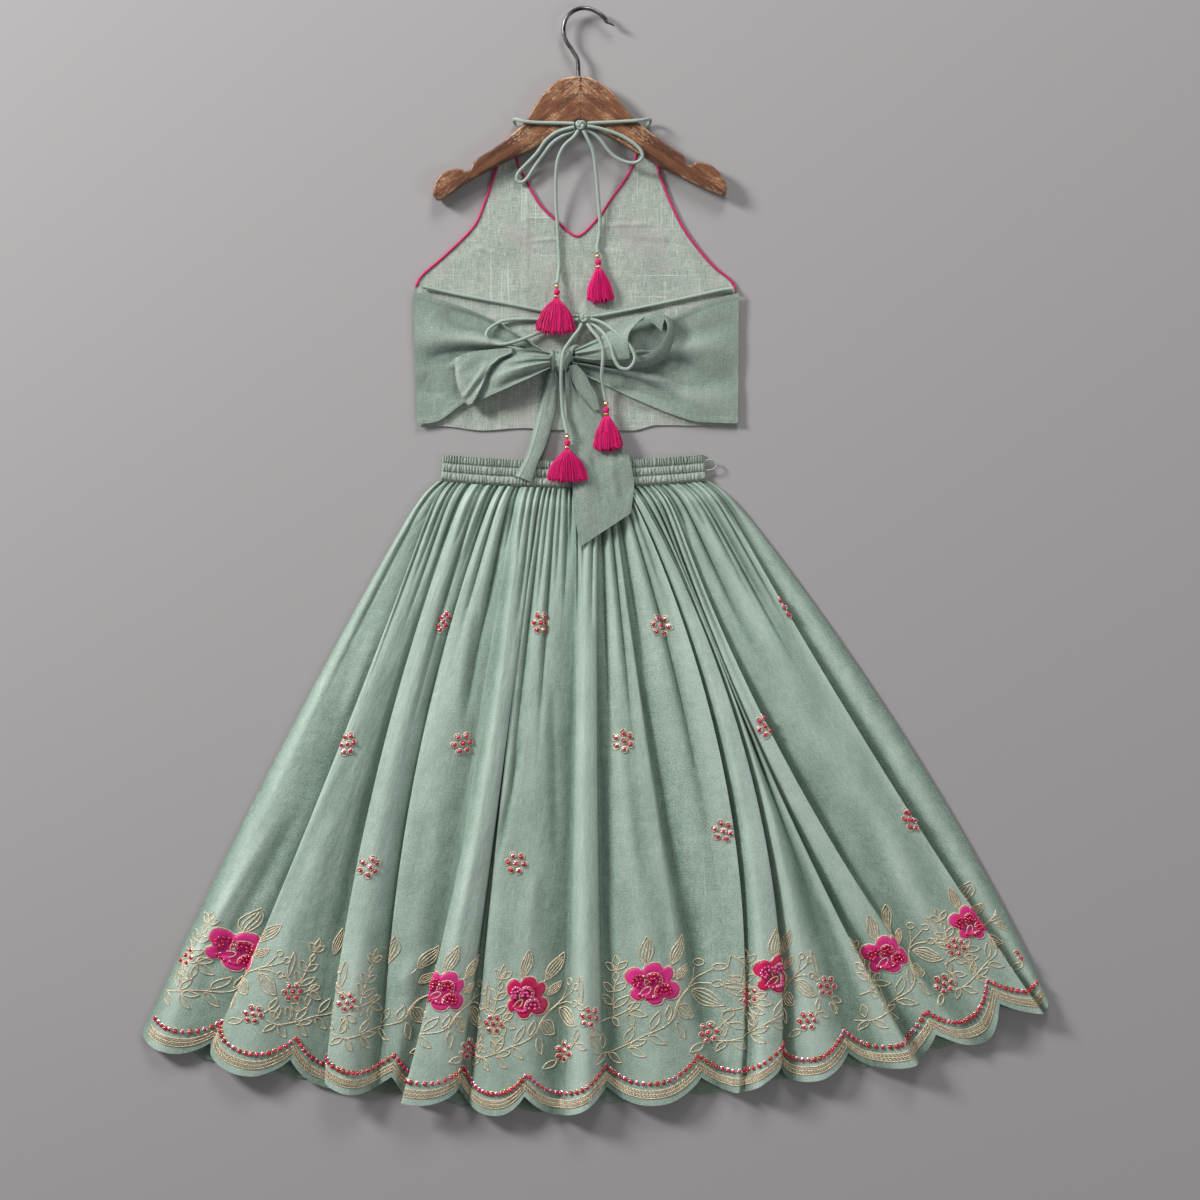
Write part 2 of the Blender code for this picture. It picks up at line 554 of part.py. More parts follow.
def build_waistband():
    """Gathered back band with its frill and two channels over a plain front band, and the thread loop."""
    bulge_rows = (
        # share of the height, height of the cloth, depth of the gathers
        (0.00, 5.2, 0.6),
        (0.18, 7.2, 1.0),
        (0.36, 5.6, 0.5),
        (0.54, 7.2, 1.0),
        (0.72, 5.6, 0.5),
        (1.00, 6.4, 1.6),
    )
    share, height, depth = np.array(bulge_rows).T
    x, y = band_place(*np.meshgrid(np.linspace(0.0, 1.0, 2 * BAND_GATHERS + 1), share))
    gather = np.cos(math.pi * np.arange(2 * BAND_GATHERS + 1))[None, :]
    z = height[:, None] + 0.5 * depth[:, None] * gather
    plain_backed("waistband_back", np.stack((x, y, z), axis=2), FRONT_BAND_THICK + SEAM, "sage_cloth")

    x, y = band_place(*np.meshgrid(np.linspace(0.0, 1.0, 13), (0.0, 1.0)))
    flat_panel("waistband_front", x, y, FRONT_BAND_THICK, "sage_cloth")

    loop = smooth_curve([(px, py, LOOP_HEIGHT) for px, py in LOOP_ROUTE], 9)
    tube("waist_loop", loop, LOOP_RADIUS, "sage_cord", 1)


def build_front_panel():
    """Blouse front, seen from its lining side, with the piping along the neck and the armholes."""
    neck = smooth_curve(NECK_EDGE, 25)
    arm_right = smooth_curve(ARMHOLE_RIGHT, 12)
    hem = smooth_curve(BLOUSE_HEM, 19)
    arm_left = smooth_curve(ARMHOLE_LEFT, 12)
    outline = np.vstack((neck, arm_right, hem, arm_left[::-1]))
    plate("choli_front", outline, 0.0, CLOTH, "sage_lining")

    edges = (
        ("piping_neck", neck, 1.0),
        ("piping_armhole_left", arm_left, -1.0),
        ("piping_armhole_right", arm_right, 1.0),
    )
    for name, line, side in edges:
        along = np.gradient(line, axis=0)
        along /= np.linalg.norm(along, axis=1)[:, None]
        away = np.stack((-along[:, 1], along[:, 0]), axis=1) * side
        height = np.full((len(line), 1), PIPING_RADIUS + 0.2)
        beside = np.hstack((line + away * (PIPING_RADIUS + 1.5 * SEAM), height))
        tube(name, beside, PIPING_RADIUS, "crimson_piping", 1)


def build_wing(name, top_edge, bottom_edge, creases):
    """Back wing that narrows to the knot, with creases that run to it."""
    columns, rows = 11, 9
    top = smooth_curve(top_edge, columns)
    bottom = smooth_curve(bottom_edge, columns)
    level = np.linspace(0.0, 1.0, rows)[:, None, None]
    plan = bottom[None] * (1.0 - level) + top[None] * level
    inward = np.linspace(0.0, 1.0, columns)[None, :]
    wave = 1.0 - np.cos(math.tau * creases * level[..., 0])
    lift = WING_RISE * inward ** 2 + 0.5 * WING_CREASE * wave * ease(inward, 0.15, 0.9)
    z = WING_FLOOR + lift
    inner = np.concatenate((plan, z[..., None]), axis=2)
    outer = inner.copy()
    outer[..., 2] += CLOTH
    wall(name, outer, inner, "sage_cloth")


def build_left_loop():
    """Flattened bow loop: the lower run goes out from the knot, turns at the tip and comes back above."""
    runs, across = 7, np.linspace(0.0, 1.0, 5)
    top = smooth_curve(LEFT_LOOP_TOP, runs)
    bottom = smooth_curve(LEFT_LOOP_BOTTOM, runs)
    out = np.linspace(0.0, 1.0, runs)
    low = 7.8 - 1.4 * out
    high = 12.6 + 6.5 * np.sin(math.pi * (0.15 + 0.85 * out)) + 1.6 * out
    turn_angles = np.array([-30.0, 0.0, 30.0]) * math.pi / 180.0
    plan = bottom[None] * (1.0 - across[:, None, None]) + top[None] * across[:, None, None]
    tip_way = plan[:, -1] - plan[:, -2]
    tip_way /= np.linalg.norm(tip_way, axis=1)[:, None]
    tip_middle = 0.5 * (low[-1] + high[-1])
    tip_half = 0.5 * (high[-1] - low[-1])
    rows = []
    for side in range(len(across)):
        lower = [(*plan[side, stop], low[stop]) for stop in range(runs)]
        turn = [(*(plan[side, -1] + tip_way[side] * LEFT_LOOP_TURN * math.cos(angle)),
                 tip_middle + tip_half * math.sin(angle)) for angle in turn_angles]
        upper = [(*plan[side, stop], high[stop] + 1.2 * math.sin(math.pi * across[side]))
                 for stop in reversed(range(runs))]
        rows.append(lower + turn + upper)
    thick_surface("sash_loop_left", np.array(rows), CLOTH, "sage_cloth")


def build_right_loop():
    """Bow loop that stands open: its wall leans in from the outer edge to the mouth."""
    table = np.array(RIGHT_LOOP)
    outer = smooth_curve(table[:, :2], 21)
    mouth = smooth_curve(table[:, 2:], 21)
    rows = []
    for share in np.linspace(0.0, 1.0, 4):
        plan = outer * (1.0 - share) + mouth[:, :2] * share
        z = RIGHT_LOOP_FLOOR + (mouth[:, 2] - RIGHT_LOOP_FLOOR) * math.sin(0.5 * math.pi * share)
        rows.append(np.hstack((plan, z[:, None])))
    thick_surface("sash_loop_right", np.array(rows), CLOTH, "sage_cloth")


def build_tail(name, table, arch):
    """Hanging end of the sash, arched a little across its width."""
    stations = np.array(table)
    count = 2 * len(table) - 1
    left = smooth_curve(stations[:, [0, 1, 4]], count)
    right = smooth_curve(stations[:, [2, 3, 4]], count)
    share = np.linspace(0.0, 1.0, 4)[:, None, None]
    outer = left[None] * (1.0 - share) + right[None] * share
    outer[..., 2] += arch * np.sin(math.pi * share[..., 0])
    inner = outer.copy()
    inner[..., 2] -= CLOTH
    wall(name, outer, inner, "sage_cloth")


def build_sash():
    """Bow of the two wings: knot, loops and tails."""
    low, high = Vector(KNOT_LOW), Vector(KNOT_HIGH)
    mesh = bpy.data.meshes.new("sash_knot")
    block = bmesh.new()
    bmesh.ops.create_cube(block, size=1.0)
    bmesh.ops.scale(block, vec=(high - low) * MM, verts=block.verts)
    block.to_mesh(mesh)
    block.free()
    knot = add_object("sash_knot", mesh, "sage_cloth")
    knot.location = (high + low) * 0.5 * MM
    round_off = knot.modifiers.new("round", "BEVEL")
    round_off.width = 3.5 * MM
    round_off.segments = 2
    build_left_loop()
    build_right_loop()
    build_tail("sash_tail_left", LEFT_TAIL, 0.8)
    build_tail("sash_tail_right", RIGHT_TAIL, 1.2)


def build_cords():
    """The two cord bows: stretches, loops and tails round their knots."""
    for name, route in CORD_ROUTES.items():
        count = max(5, round(curve_length(route) / CORD_STEP) + 1)
        tube(name, smooth_curve(route, count), CORD_RADIUS, "sage_cord")
    ball("neck_cord_knot", NECK_KNOT, CORD_KNOT_RADII, "sage_cord", 10, 6)
    ball("back_cord_knot", BACK_KNOT, CORD_KNOT_RADII, "sage_cord", 10, 6)


def tassel_locks(length, half_width):
    """Locks of thread that fan out from the head, four-sided, each in a cell of its own."""
    spread = math.atan2(half_width, length)
    rise = math.atan2(0.5 * TASSEL_DEPTH, length)
    mesh = bpy.data.meshes.new("locks")
    points, faces = [], []
    side_step = 2.0 * spread / LOCKS_ACROSS
    layer_step = 2.0 * rise / TASSEL_LAYERS
    for layer in range(TASSEL_LAYERS):
        for lock in range(LOCKS_ACROSS):
            middle = -spread + side_step * (lock + 0.5)
            tilt = -rise + layer_step * (layer + 0.5)
            reach = length * (1.0 + 0.05 * math.cos(2.4 * lock + 1.7 * layer))
            first = len(points)
            for distance in (TASSEL_ROOT, reach):
                for side, up in ((-1, -1), (1, -1), (1, 1), (-1, 1)):
                    turn = middle + side * 0.5 * LOCK_FILL * side_step
                    lean = tilt + up * 0.5 * LOCK_FILL * layer_step
                    height = distance * math.tan(lean)
                    points.append((distance * math.cos(turn), distance * math.sin(turn), height))
            faces.append((first + 3, first + 2, first + 1, first))
            faces.append((first + 4, first + 5, first + 6, first + 7))
            for corner in range(4):
                following = (corner + 1) % 4
                faces.append((first + corner, first + following, first + 4 + following, first + 4 + corner))
    mesh.from_pydata([tuple(value * MM for value in point) for point in points], [], faces)
    return mesh


def build_tassel(name, x, y, z, heading, rise, length, half_width):
    """Gold bead, wrapped bead, ring and tassel, one after another along the heading."""
    turn, tilt = math.radians(heading), math.radians(rise)
    start = np.array((x, y, z))
    way = np.array((math.cos(turn) * math.cos(tilt), math.sin(turn) * math.cos(tilt), math.sin(tilt)))
    bead_at = SEAM + GOLD_BEAD_RADIUS
    wrapped_at = bead_at + GOLD_BEAD_RADIUS + SEAM + WRAPPED_BEAD_RADIUS
    ring_at = wrapped_at + WRAPPED_BEAD_RADIUS + SEAM + RING_HALF_THICK
    head_at = ring_at + RING_HALF_THICK + SEAM + TASSEL_HEAD_RADIUS
    ball(f"gold_bead_{name}", start + way * bead_at, (GOLD_BEAD_RADIUS,) * 3, "gold")
    ball(f"wrapped_bead_{name}", start + way * wrapped_at, (WRAPPED_BEAD_RADIUS,) * 3, "pink_thread")

    mesh = bpy.data.meshes.new(f"gold_ring_{name}")
    band = bmesh.new()
    radius = RING_RADIUS * MM
    depth = 2.0 * RING_HALF_THICK * MM
    bmesh.ops.create_cone(band, cap_ends=True, segments=10, radius1=radius, radius2=radius, depth=depth)
    band.to_mesh(mesh)
    band.free()
    ring = add_object(f"gold_ring_{name}", mesh, "gold")
    ring.location = Vector(start + way * ring_at) * MM
    ring.rotation_euler = (0.0, math.pi / 2.0 - tilt, turn)

    tassel = ball(f"tassel_{name}", start + way * head_at, (TASSEL_HEAD_RADIUS,) * 3, "pink_thread", 10, 6)
    tassel.rotation_euler = (0.0, -tilt, turn)
    locks = bpy.data.objects.new(f"locks_{name}", tassel_locks(length, half_width))
    bpy.data.collections["cutters"].objects.link(locks)
    locks.hide_render = True
    locks.display_type = "WIRE"
    locks.location = tassel.location
    locks.rotation_euler = tassel.rotation_euler
    join = tassel.modifiers.new("locks", "BOOLEAN")
    join.operation = "UNION"
    join.object = locks


def build_hanger():
    """Wooden arm with the notches of its ends, and the wire hook."""
    upper = HANGER_FLOOR + HANGER_THICK
    wood = plate("hanger_wood", HANGER_TOP + HANGER_BOTTOM, HANGER_FLOOR, upper, "brown_wood")
    wood.data.bevel_depth = HANGER_EDGE * MM
    wood.data.bevel_resolution = 0
    wood.data.extrude -= HANGER_EDGE * MM
    wood.data.offset = -HANGER_EDGE * MM
    middle = HANGER_FLOOR + 0.5 * HANGER_THICK
    hook = smooth_curve([(x, y, middle) for x, y in HOOK_ROUTE], 22)
    tube("hanger_hook", hook, HOOK_RADIUS, "dark_steel")


def main():
    """Build every piece of the garment and its hanger."""
    for old in list(bpy.data.objects):
        bpy.data.objects.remove(old, do_unlink=True)
    for title in ("lehenga_choli", "cutters"):
        bpy.context.scene.collection.children.link(bpy.data.collections.new(title))
    build_hanger()
    build_front_panel()
    build_wing("choli_back_left", WING_LEFT_TOP, WING_LEFT_BOTTOM, 3)
    build_wing("choli_back_right", WING_RIGHT_TOP, WING_RIGHT_BOTTOM, 3)
    build_sash()
    build_cords()
    for tassel in TASSELS:
        build_tassel(*tassel)
    build_skirt()
    build_waistband()


main()
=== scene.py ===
"""Looks of a child's lehenga choli laid flat with its hanger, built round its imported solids.

Tables are in millimetres in the frame of the solids: the floor is z = 0, +Y runs from the hem to the hook of
the hanger, and the camera looks straight down. Meshes are made in metres.
"""

from __future__ import annotations

import logging
import math
from dataclasses import dataclass, field
from typing import Callable, ClassVar, Sequence

import bpy
import numpy as np
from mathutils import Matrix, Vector


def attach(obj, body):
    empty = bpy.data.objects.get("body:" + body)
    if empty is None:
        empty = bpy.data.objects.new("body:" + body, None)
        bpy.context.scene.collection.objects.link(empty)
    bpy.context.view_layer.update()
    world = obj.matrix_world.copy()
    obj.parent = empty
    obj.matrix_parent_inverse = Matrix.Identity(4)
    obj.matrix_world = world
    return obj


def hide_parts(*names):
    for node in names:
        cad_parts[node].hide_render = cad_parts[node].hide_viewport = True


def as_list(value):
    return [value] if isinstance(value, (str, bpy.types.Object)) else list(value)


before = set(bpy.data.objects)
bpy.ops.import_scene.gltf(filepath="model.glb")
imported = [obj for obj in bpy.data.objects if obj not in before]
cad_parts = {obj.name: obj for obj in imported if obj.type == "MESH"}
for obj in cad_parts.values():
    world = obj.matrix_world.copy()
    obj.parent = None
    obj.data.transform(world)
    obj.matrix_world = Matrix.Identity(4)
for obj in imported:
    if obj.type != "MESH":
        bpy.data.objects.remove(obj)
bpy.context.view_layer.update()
LOG = logging.getLogger("lehenga_choli")
MM = 0.001
Array = np.ndarray
Colour = tuple[float, float, float]

# Skirt: the waist, the band and the hem, as in the solids.
WAIST_LEFT = -160.0
WAIST_RIGHT = 116.0
BAND_BOTTOM = 83.5
BAND_SAG = 7.0
BAND_HEIGHT = 27.0
BAND_INSET = 2.0
BAND_TAPER = 5.0
SEAM = 0.3
SCALLOP_DEPTH = 23.0
SCALLOP_PITCH = 84.0
SIDE_PUFF = 0.035
PUFF_REACH = 0.02
MID_HEIGHT = -220.0
HEM_LINE = (
    # x, y
    (-456, -466), (-393, -490), (-308, -507), (-190, -527), (-67, -543), (19, -534), (114, -524), (188, -510),
    (258, -500), (350, -480), (404, -452), (456, -430))

# Lines along which the back panel folds, from left to right.
FOLD_LINES = (
    # x at the waist, x at mid-height, x at the hem, cloth at the hem, height near the waist, mid-height, hem
    (-160, -336.6, -456, 0.2, 0, 0, 0), (-156.5, -318, -432, 0.58, 4, 5.5, 6.5),
    (-150, -270, -391, 1.02, 0.8, 1, 3), (-151, -273.5, -388, 1.1, 5, 7, 5), (-146, -260, -352, 1.5, 7, 9.5, 9.5),
    (-132, -236, -318, 1.9, 4.5, 6, 6), (-125.5, -222, -272, 2.45, 0.6, 0.6, 1),
    (-124.5, -215, -243, 2.8, 2.5, 2.5, 3.5), (-126.5, -223.5, -273, 3.16, 6, 9, 13),
    (-121, -210, -256, 3.4, 8.5, 12, 15), (-104, -189, -233, 3.72, 5, 7, 9), (-96, -180, -222, 3.85, 0.6, 0.6, 4),
    (-97.5, -184.5, -216, 3.93, 5.5, 7.5, 5.5), (-88, -162, -205, 4.02, 8, 9.5, 5),
    (-76, -130, -187, 4.25, 5, 5, 1), (-74, -126, -158, 4.8, 5, 5.2, 3.5), (-74.5, -122, -191, 5.4, 5.6, 6.5, 12),
    (-69, -110, -166, 5.68, 8.5, 12, 13.5), (-55, -96, -141, 5.96, 6.5, 8.5, 8.5),
    (-51.5, -94.5, -135, 6.06, 0.2, 0, 1.5), (-51, -93, -129, 6.14, 0.2, 0, 1.5),
    (-52.5, -94, -123, 6.24, 5, 7.5, 5), (-40, -62, -72, 7, 7.5, 9, 10), (-21, -24, -36, 7.4, 3.5, 3.5, 2.5),
    (-17.5, -19, -27, 7.52, 6.5, 8.5, 8), (-8, -9.5, -9, 7.74, 8.5, 11.5, 13.5), (2.5, 1.5, 5, 7.92, 6.5, 9, 8.5),
    (3, 4, 14, 8.02, 0.8, 1.2, 2.5), (8, 36, 68, 8.58, 7, 9, 9.5), (14, 58, 104, 8.95, 6, 8, 6),
    (14.5, 62, 126, 9.2, 1, 2.5, 2), (19, 92, 140, 9.36, 6.5, 7.5, 5), (29.5, 133, 149, 9.45, 8, 9, 6.5),
    (28.5, 130.5, 152, 9.5, 0.8, 1, 4), (32, 147, 171, 9.75, 7.5, 10.5, 13.5), (36, 160.5, 190, 9.98, 6.5, 9.5, 9),
    (34.5, 157, 191, 10.07, 0.4, 0.4, 2), (43, 169, 228, 10.6, 7.5, 9, 9.5), (47, 175, 272, 11.18, 6, 6.5, 3),
    (51, 182, 314, 11.62, 8, 9.5, 13), (49.5, 178, 320, 11.74, 0.8, 1, 4), (55, 192, 352, 12.05, 7, 8.5, 6.5),
    (62, 205, 366, 12.26, 7.5, 9, 5.5), (60.5, 201.5, 374, 12.4, 0.8, 1, 3), (82, 258, 402, 12.86, 7.5, 9.5, 10),
    (109.5, 298.5, 440, 13.44, 8, 10.5, 9), (108, 294.5, 441, 13.54, 1, 1, 2.5),
    (112.5, 318, 449, 13.68, 3.5, 4.5, 4.5), (116, 341.4, 456, 13.8, 0, 0, 0))

# Waistband, from its lower to its upper edge: a frill over two elastic channels.
BAND_PROFILE = (
    # share of the height, height over the floor, depth of the gathers
    (0.00, 4.6, 0.9), (0.04, 5.4, 1.7), (0.10, 7.0, 2.0), (0.20, 7.5, 2.0), (0.30, 7.0, 2.0), (0.345, 5.7, 1.2),
    (0.375, 5.6, 1.2), (0.41, 6.7, 2.1), (0.52, 7.3, 2.3), (0.63, 6.9, 2.2), (0.675, 5.6, 1.3), (0.70, 5.6, 1.3),
    (0.76, 6.7, 2.4), (0.88, 7.1, 2.9), (1.00, 6.9, 3.1))

# Creases that gather at the band and run down with the folds: where, how far, how deep and how wide.
CREASES = (
    # x at the waist, share of the way down where it ends, depth, half width
    (-156, 0.5, 4.5, 2.2), (-148.5, 0.39, 5.2, 2), (-142.5, 0.21, 6, 1.8), (-137.5, 0.28, 5.2, 1.8),
    (-129, 0.19, 6.3, 1.9), (-118, 0.12, 5.2, 1.6), (-113, 0.47, 6.6, 2), (-104.5, 0.15, 6, 1.6),
    (-99, 0.17, 5.6, 1.6), (-91, 0.3, 6, 1.8), (-82, 0.43, 7.4, 2), (-77, 0.12, 5.2, 1.5), (-68, 0.14, 5.2, 1.5),
    (-61, 0.26, 6.3, 1.7), (-54, 0.19, 6.3, 1.6), (-49, 0.63, 6.6, 1.8), (-44.5, 0.24, 6, 1.5),
    (-39, 0.48, 7.7, 1.9), (-34, 0.2, 5.6, 1.5), (-28, 0.23, 6, 1.5), (-24, 0.12, 5.2, 1.4), (-18, 0.32, 5.6, 1.5),
    (-12, 0.19, 5.6, 1.5), (-3, 0.27, 5.6, 1.6), (5, 0.58, 6, 1.7), (10, 0.57, 6.3, 1.8), (16, 0.42, 5.6, 1.7),
    (22, 0.77, 7, 1.9), (26, 0.31, 5.2, 1.6), (40, 0.23, 5.6, 1.6), (47, 0.85, 7.4, 1.9), (53.5, 0.41, 6.6, 1.8),
    (59, 0.53, 6.6, 1.8), (66, 0.12, 5.6, 1.5), (72.5, 0.39, 7, 1.9), (80, 0.12, 5.6, 1.6), (86, 0.26, 6, 1.7),
    (91, 0.41, 6.3, 1.9), (96, 0.33, 6.6, 1.9), (103, 0.35, 6, 1.8), (108, 0.16, 5.2, 1.7), (112, 0.19, 4.5, 1.7))

# Soft troughs lower down: both ends, depth and half width. A negative depth is a low ridge.
SOFT_TROUGHS = (
    # x, y, x, y, depth, half width
    (-240, -180, -352, -420, 1.6, 9), (-300, -250, -398, -430, 1.8, 7), (-325, -260, -430, -440, -1.4, 6),
    (-222, -380, -214, -500, 1.6, 8), (-170, -250, -188, -360, 1.5, 10), (-166, -395, -200, -430, -1.5, 10),
    (-120, -280, -150, -420, -1.6, 6), (-76, -180, -98, -300, 2, 3.5), (-60, -300, -78, -440, -1.5, 12),
    (-44, -120, -40, -300, 1.6, 5), (24, -120, 52, -330, 1.7, 7), (14, -330, 34, -470, -1.3, 9),
    (60, -260, 92, -420, -1.6, 10), (96, -360, 112, -470, 1.8, 9), (176, -240, 214, -420, -1.6, 9),
    (196, -290, 262, -440, 1.8, 11), (150, -40, 262, -190, -2, 12), (190, -80, 246, -180, 2, 12),
    (240, -170, 330, -340, -1.8, 14), (262, -250, 330, -400, 1.8, 12), (300, -300, 372, -420, -1.3, 9),
    (-220, -60, -262, -170, -1.6, 8), (-150, -60, -176, -170, 1.6, 5), (-118, -40, -132, -160, 1.8, 5))

# Blouse front panel, clockwise from the left strap's hidden top, as in the solids.
NECK_EDGE = (
    (-80, 440), (-81, 409), (-71, 389), (-58, 366), (-40, 348), (-18, 332), (4, 351), (19, 372), (40, 405),
    (48.5, 442))
ARMHOLE_RIGHT = ((57, 435.5), (62, 406), (74, 372), (91, 338), (117, 305), (137, 288), (143, 278))
ARMHOLE_LEFT = ((-88, 433), (-101, 397), (-111, 368), (-123, 342), (-152, 313), (-175, 293), (-182, 281))
BLOUSE_HEM = (
    (-180, 140.5), (-150, 139), (-115, 135), (-75, 137.5), (-35, 135.5), (0, 137), (38, 135), (63, 140.5),
    (100, 140), (143, 142))
PIPING_RADIUS = 1.3

# Pressed lines and light creases of the lining. A negative depth is a ridge.
LINING_CREASES = (
    # x, y, x, y, depth, half width
    (-69, 378, -72, 246, -0.45, 0.9), (-80, 176, -79, 148, -0.4, 0.9), (-70, 353, -46, 351, -0.5, 1.1),
    (-66, 329, -36, 331, -0.6, 1.2), (-12, 321, 28, 318, -0.55, 1.2), (4, 345, 60, 346, -0.6, 1.3),
    (-122, 322, -100, 316, -0.6, 1.3), (-60, 318, -10, 312, 0.4, 3), (-128, 308, -96, 286, 0.5, 5),
    (14, 332, 92, 324, 0.4, 3.5), (56, 304, 88, 268, 0.6, 7), (-116, 296, -108, 258, 0.6, 6),
    (-30, 304, -20, 258, 0.55, 6), (-88, 300, -84, 256, -0.5, 7), (96, 316, 108, 280, -0.45, 6),
    (20, 160, 60, 152, 0.4, 5), (-126, 158, -96, 148, 0.4, 5))

# Back wings: the upper and lower edge from the side seam to the knot, as in the solids.
WING_LEFT_TOP = ((-186, 277), (-141, 263), (-101, 246), (-78, 232), (-50, 214))
WING_LEFT_BOTTOM = ((-182, 141), (-159, 145), (-133, 163), (-95, 178), (-50, 196))
WING_RIGHT_TOP = ((147, 275), (129, 271), (103, 261), (60, 241), (-23, 213))
WING_RIGHT_BOTTOM = ((146, 142), (117, 143), (94, 146), (47, 164), (-23, 197))

# Creases of the wings, as shares of their height from the lower edge: they run in to the knot.
WING_LEFT_CREASES = (
    # level at the side, level at the knot, share of the length where it starts, depth, half width
    (0.8, 0.9, 0.2, 2.2, 0.07), (0.66, 0.72, 0.02, -1.5, 0.07), (0.5, 0.58, 0.02, 1.5, 0.045),
    (0.42, 0.46, 0.3, -1.2, 0.05), (0.3, 0.36, 0.02, 1.7, 0.045), (0.16, 0.2, 0.2, 1, 0.05),
    (0.72, 0.8, 0.55, 1.6, 0.05), (0.4, 0.28, 0.5, 1.7, 0.05), (0.56, 0.66, 0.6, 1.3, 0.04),
    (0.22, 0.1, 0.55, 1.6, 0.05))
WING_RIGHT_CREASES = (
    # level at the side, level at the knot, share of the length where it starts, depth, half width
    (0.86, 0.9, 0.3, 1.8, 0.05), (0.62, 0.74, 0.06, -2.1, 0.1), (0.4, 0.6, 0.18, 2.8, 0.09),
    (0.22, 0.42, 0.12, -1.4, 0.08), (0.12, 0.24, 0.25, 1.4, 0.05), (0.74, 0.82, 0.02, 1.3, 0.05),
    (0.5, 0.5, 0.55, 1.5, 0.05), (0.3, 0.32, 0.55, 1.5, 0.05), (0.1, 0.12, 0.6, 1.2, 0.05),
    (0.34, 0.2, 0, 1.1, 0.05))

# Sash: the knot, the two loops and the two tails.
KNOT_CENTRE = (-36.5, 204.6, 7.8)
KNOT_HALF = (13.2, 11.6, 6.6)
LEFT_LOOP_TOP = ((-46, 213), (-62, 216), (-89, 217.6), (-110, 216), (-128, 213.8), (-139.5, 209.5))
LEFT_LOOP_BOTTOM = ((-46, 197.5), (-62, 189.5), (-82, 180.5), (-100, 172.5), (-114, 166.5), (-125, 160.8))
# The front layer's fold: x by y, from the lower edge to the upper one.
LEFT_LOOP_FOLD = (
    (160, -125.5), (168, -120.5), (176, -116), (184, -112.5), (192, -109.5), (200, -105), (207, -97), (213, -84))
LEFT_LOOP_CREASES = (
    # both ends, depth, half width; a negative depth is a ridge
    (-137, 163, -110, 200, -1.5, 2.6), (-132, 163.5, -106, 196, 1.1, 2.2), (-135, 190, -112, 208, 0.9, 5),
    (-104, 186, -60, 204, -2.1, 5.2), (-100, 177, -62, 193, 1.7, 3.6), (-96, 208, -62, 211, 1.4, 3),
    (-84, 199, -56, 207, 1.2, 2.4))
# Sheets of the open right loop: the lower and the upper edge, both from the knot outwards.
RIGHT_LOOP_SHEETS = (
    # edge with x, y and height; opposite edge; arch between them; depth of the pleats at the knot
    (((-20, 207.5, 8), (12, 203.5, 8.6), (36, 202, 8.8), (57, 202.5, 9), (71, 210, 9.2), (78.5, 226, 9.4)),
     ((-20, 214, 8), (5, 226, 8.6), (24, 237, 8.8), (47, 248.5, 9), (66, 253, 9.2), (77, 247, 9.4)), 0.8, 0.4),
    (((-20, 207, 11), (-4, 203.8, 10), (12, 200.8, 9.4), (35, 198.8, 9.2), (56, 199.6, 9.2), (70.5, 207, 9.3),
      (77.6, 218.9, 9.6), (80.4, 235.3, 10.2), (78.6, 247, 11), (70.6, 252.6, 12)),
     ((-20, 210, 13.6), (-2, 208.8, 15.2), (14, 208, 16.4), (33, 208.6, 17.4), (50, 210.6, 18), (63, 217.6, 18.4),
      (71.2, 228, 18.6), (73.6, 239, 18.4), (71.5, 246, 18), (66, 251, 17.6)), 2.2, 0.3),
    (((-20, 209, 13), (-4, 206.4, 15), (14, 206, 17), (35, 206.5, 18.8)),
     ((-20, 217, 12.6), (5, 229.6, 14), (24, 240.4, 15.2), (54, 252.4, 17)), 3.4, 1.2),
    (((20, 236, 14.6), (40, 243, 17), (54, 245.5, 18.6), (68, 234.8, 18.4)),
     ((22, 239.6, 14), (36, 246.6, 15.4), (50, 252.4, 16.6), (72, 257.2, 16.4)), 0.7, 0.2))
# Sash tails, from the knot to the end: the left and right edge, and the height of the cloth.
LEFT_TAIL = (
    # left x, left y, right x, right y, height
    (-48, 195, -38, 195, 9), (-53.5, 178, -38, 176, 6), (-58.5, 158, -40.5, 156, 4.6), (-63, 138, -45.5, 135, 5.4),
    (-68, 118, -52, 115, 7.8), (-73.5, 103, -57.5, 103, 10.2), (-82, 88.5, -64.5, 82, 10.6))
RIGHT_TAIL = (
    # left x, left y, right x, right y, height
    (-31, 195, -22, 195, 9), (-30, 179, -15, 180, 5.8), (-29, 160, -3.5, 162, 4.6), (-28, 138, 14, 141, 5.6),
    (-27, 118, 28, 121, 8), (-25, 104, 35.5, 105, 10.4), (-23, 80, 39.5, 82, 11.4), (-20, 45, 38.5, 66, 13.2),
    (-15, 16, 36.5, 50, 13.9))
RIGHT_TAIL_TROUGHS = (
    # both ends, depth, half width; a negative depth is a ridge
    (-25.6, 146, -4.5, 111, 1.6, 5), (-4.5, 118, 8, 60, 1.6, 4), (14, 112, 24, 60, -1.2, 5),
    (-16, 110, -8, 40, -1.2, 6), (20, 90, 30, 62, 0.9, 4))
TAIL_FLAP = (
    # left x, left y, right x, right y, height
    (-27, 200, -19, 202, 11.5), (-25, 190, -10, 192, 10.2), (-19.5, 178, -5, 182, 9), (-10, 166, 1.5, 170, 8),
    (-0.5, 154.5, 5, 157, 7))

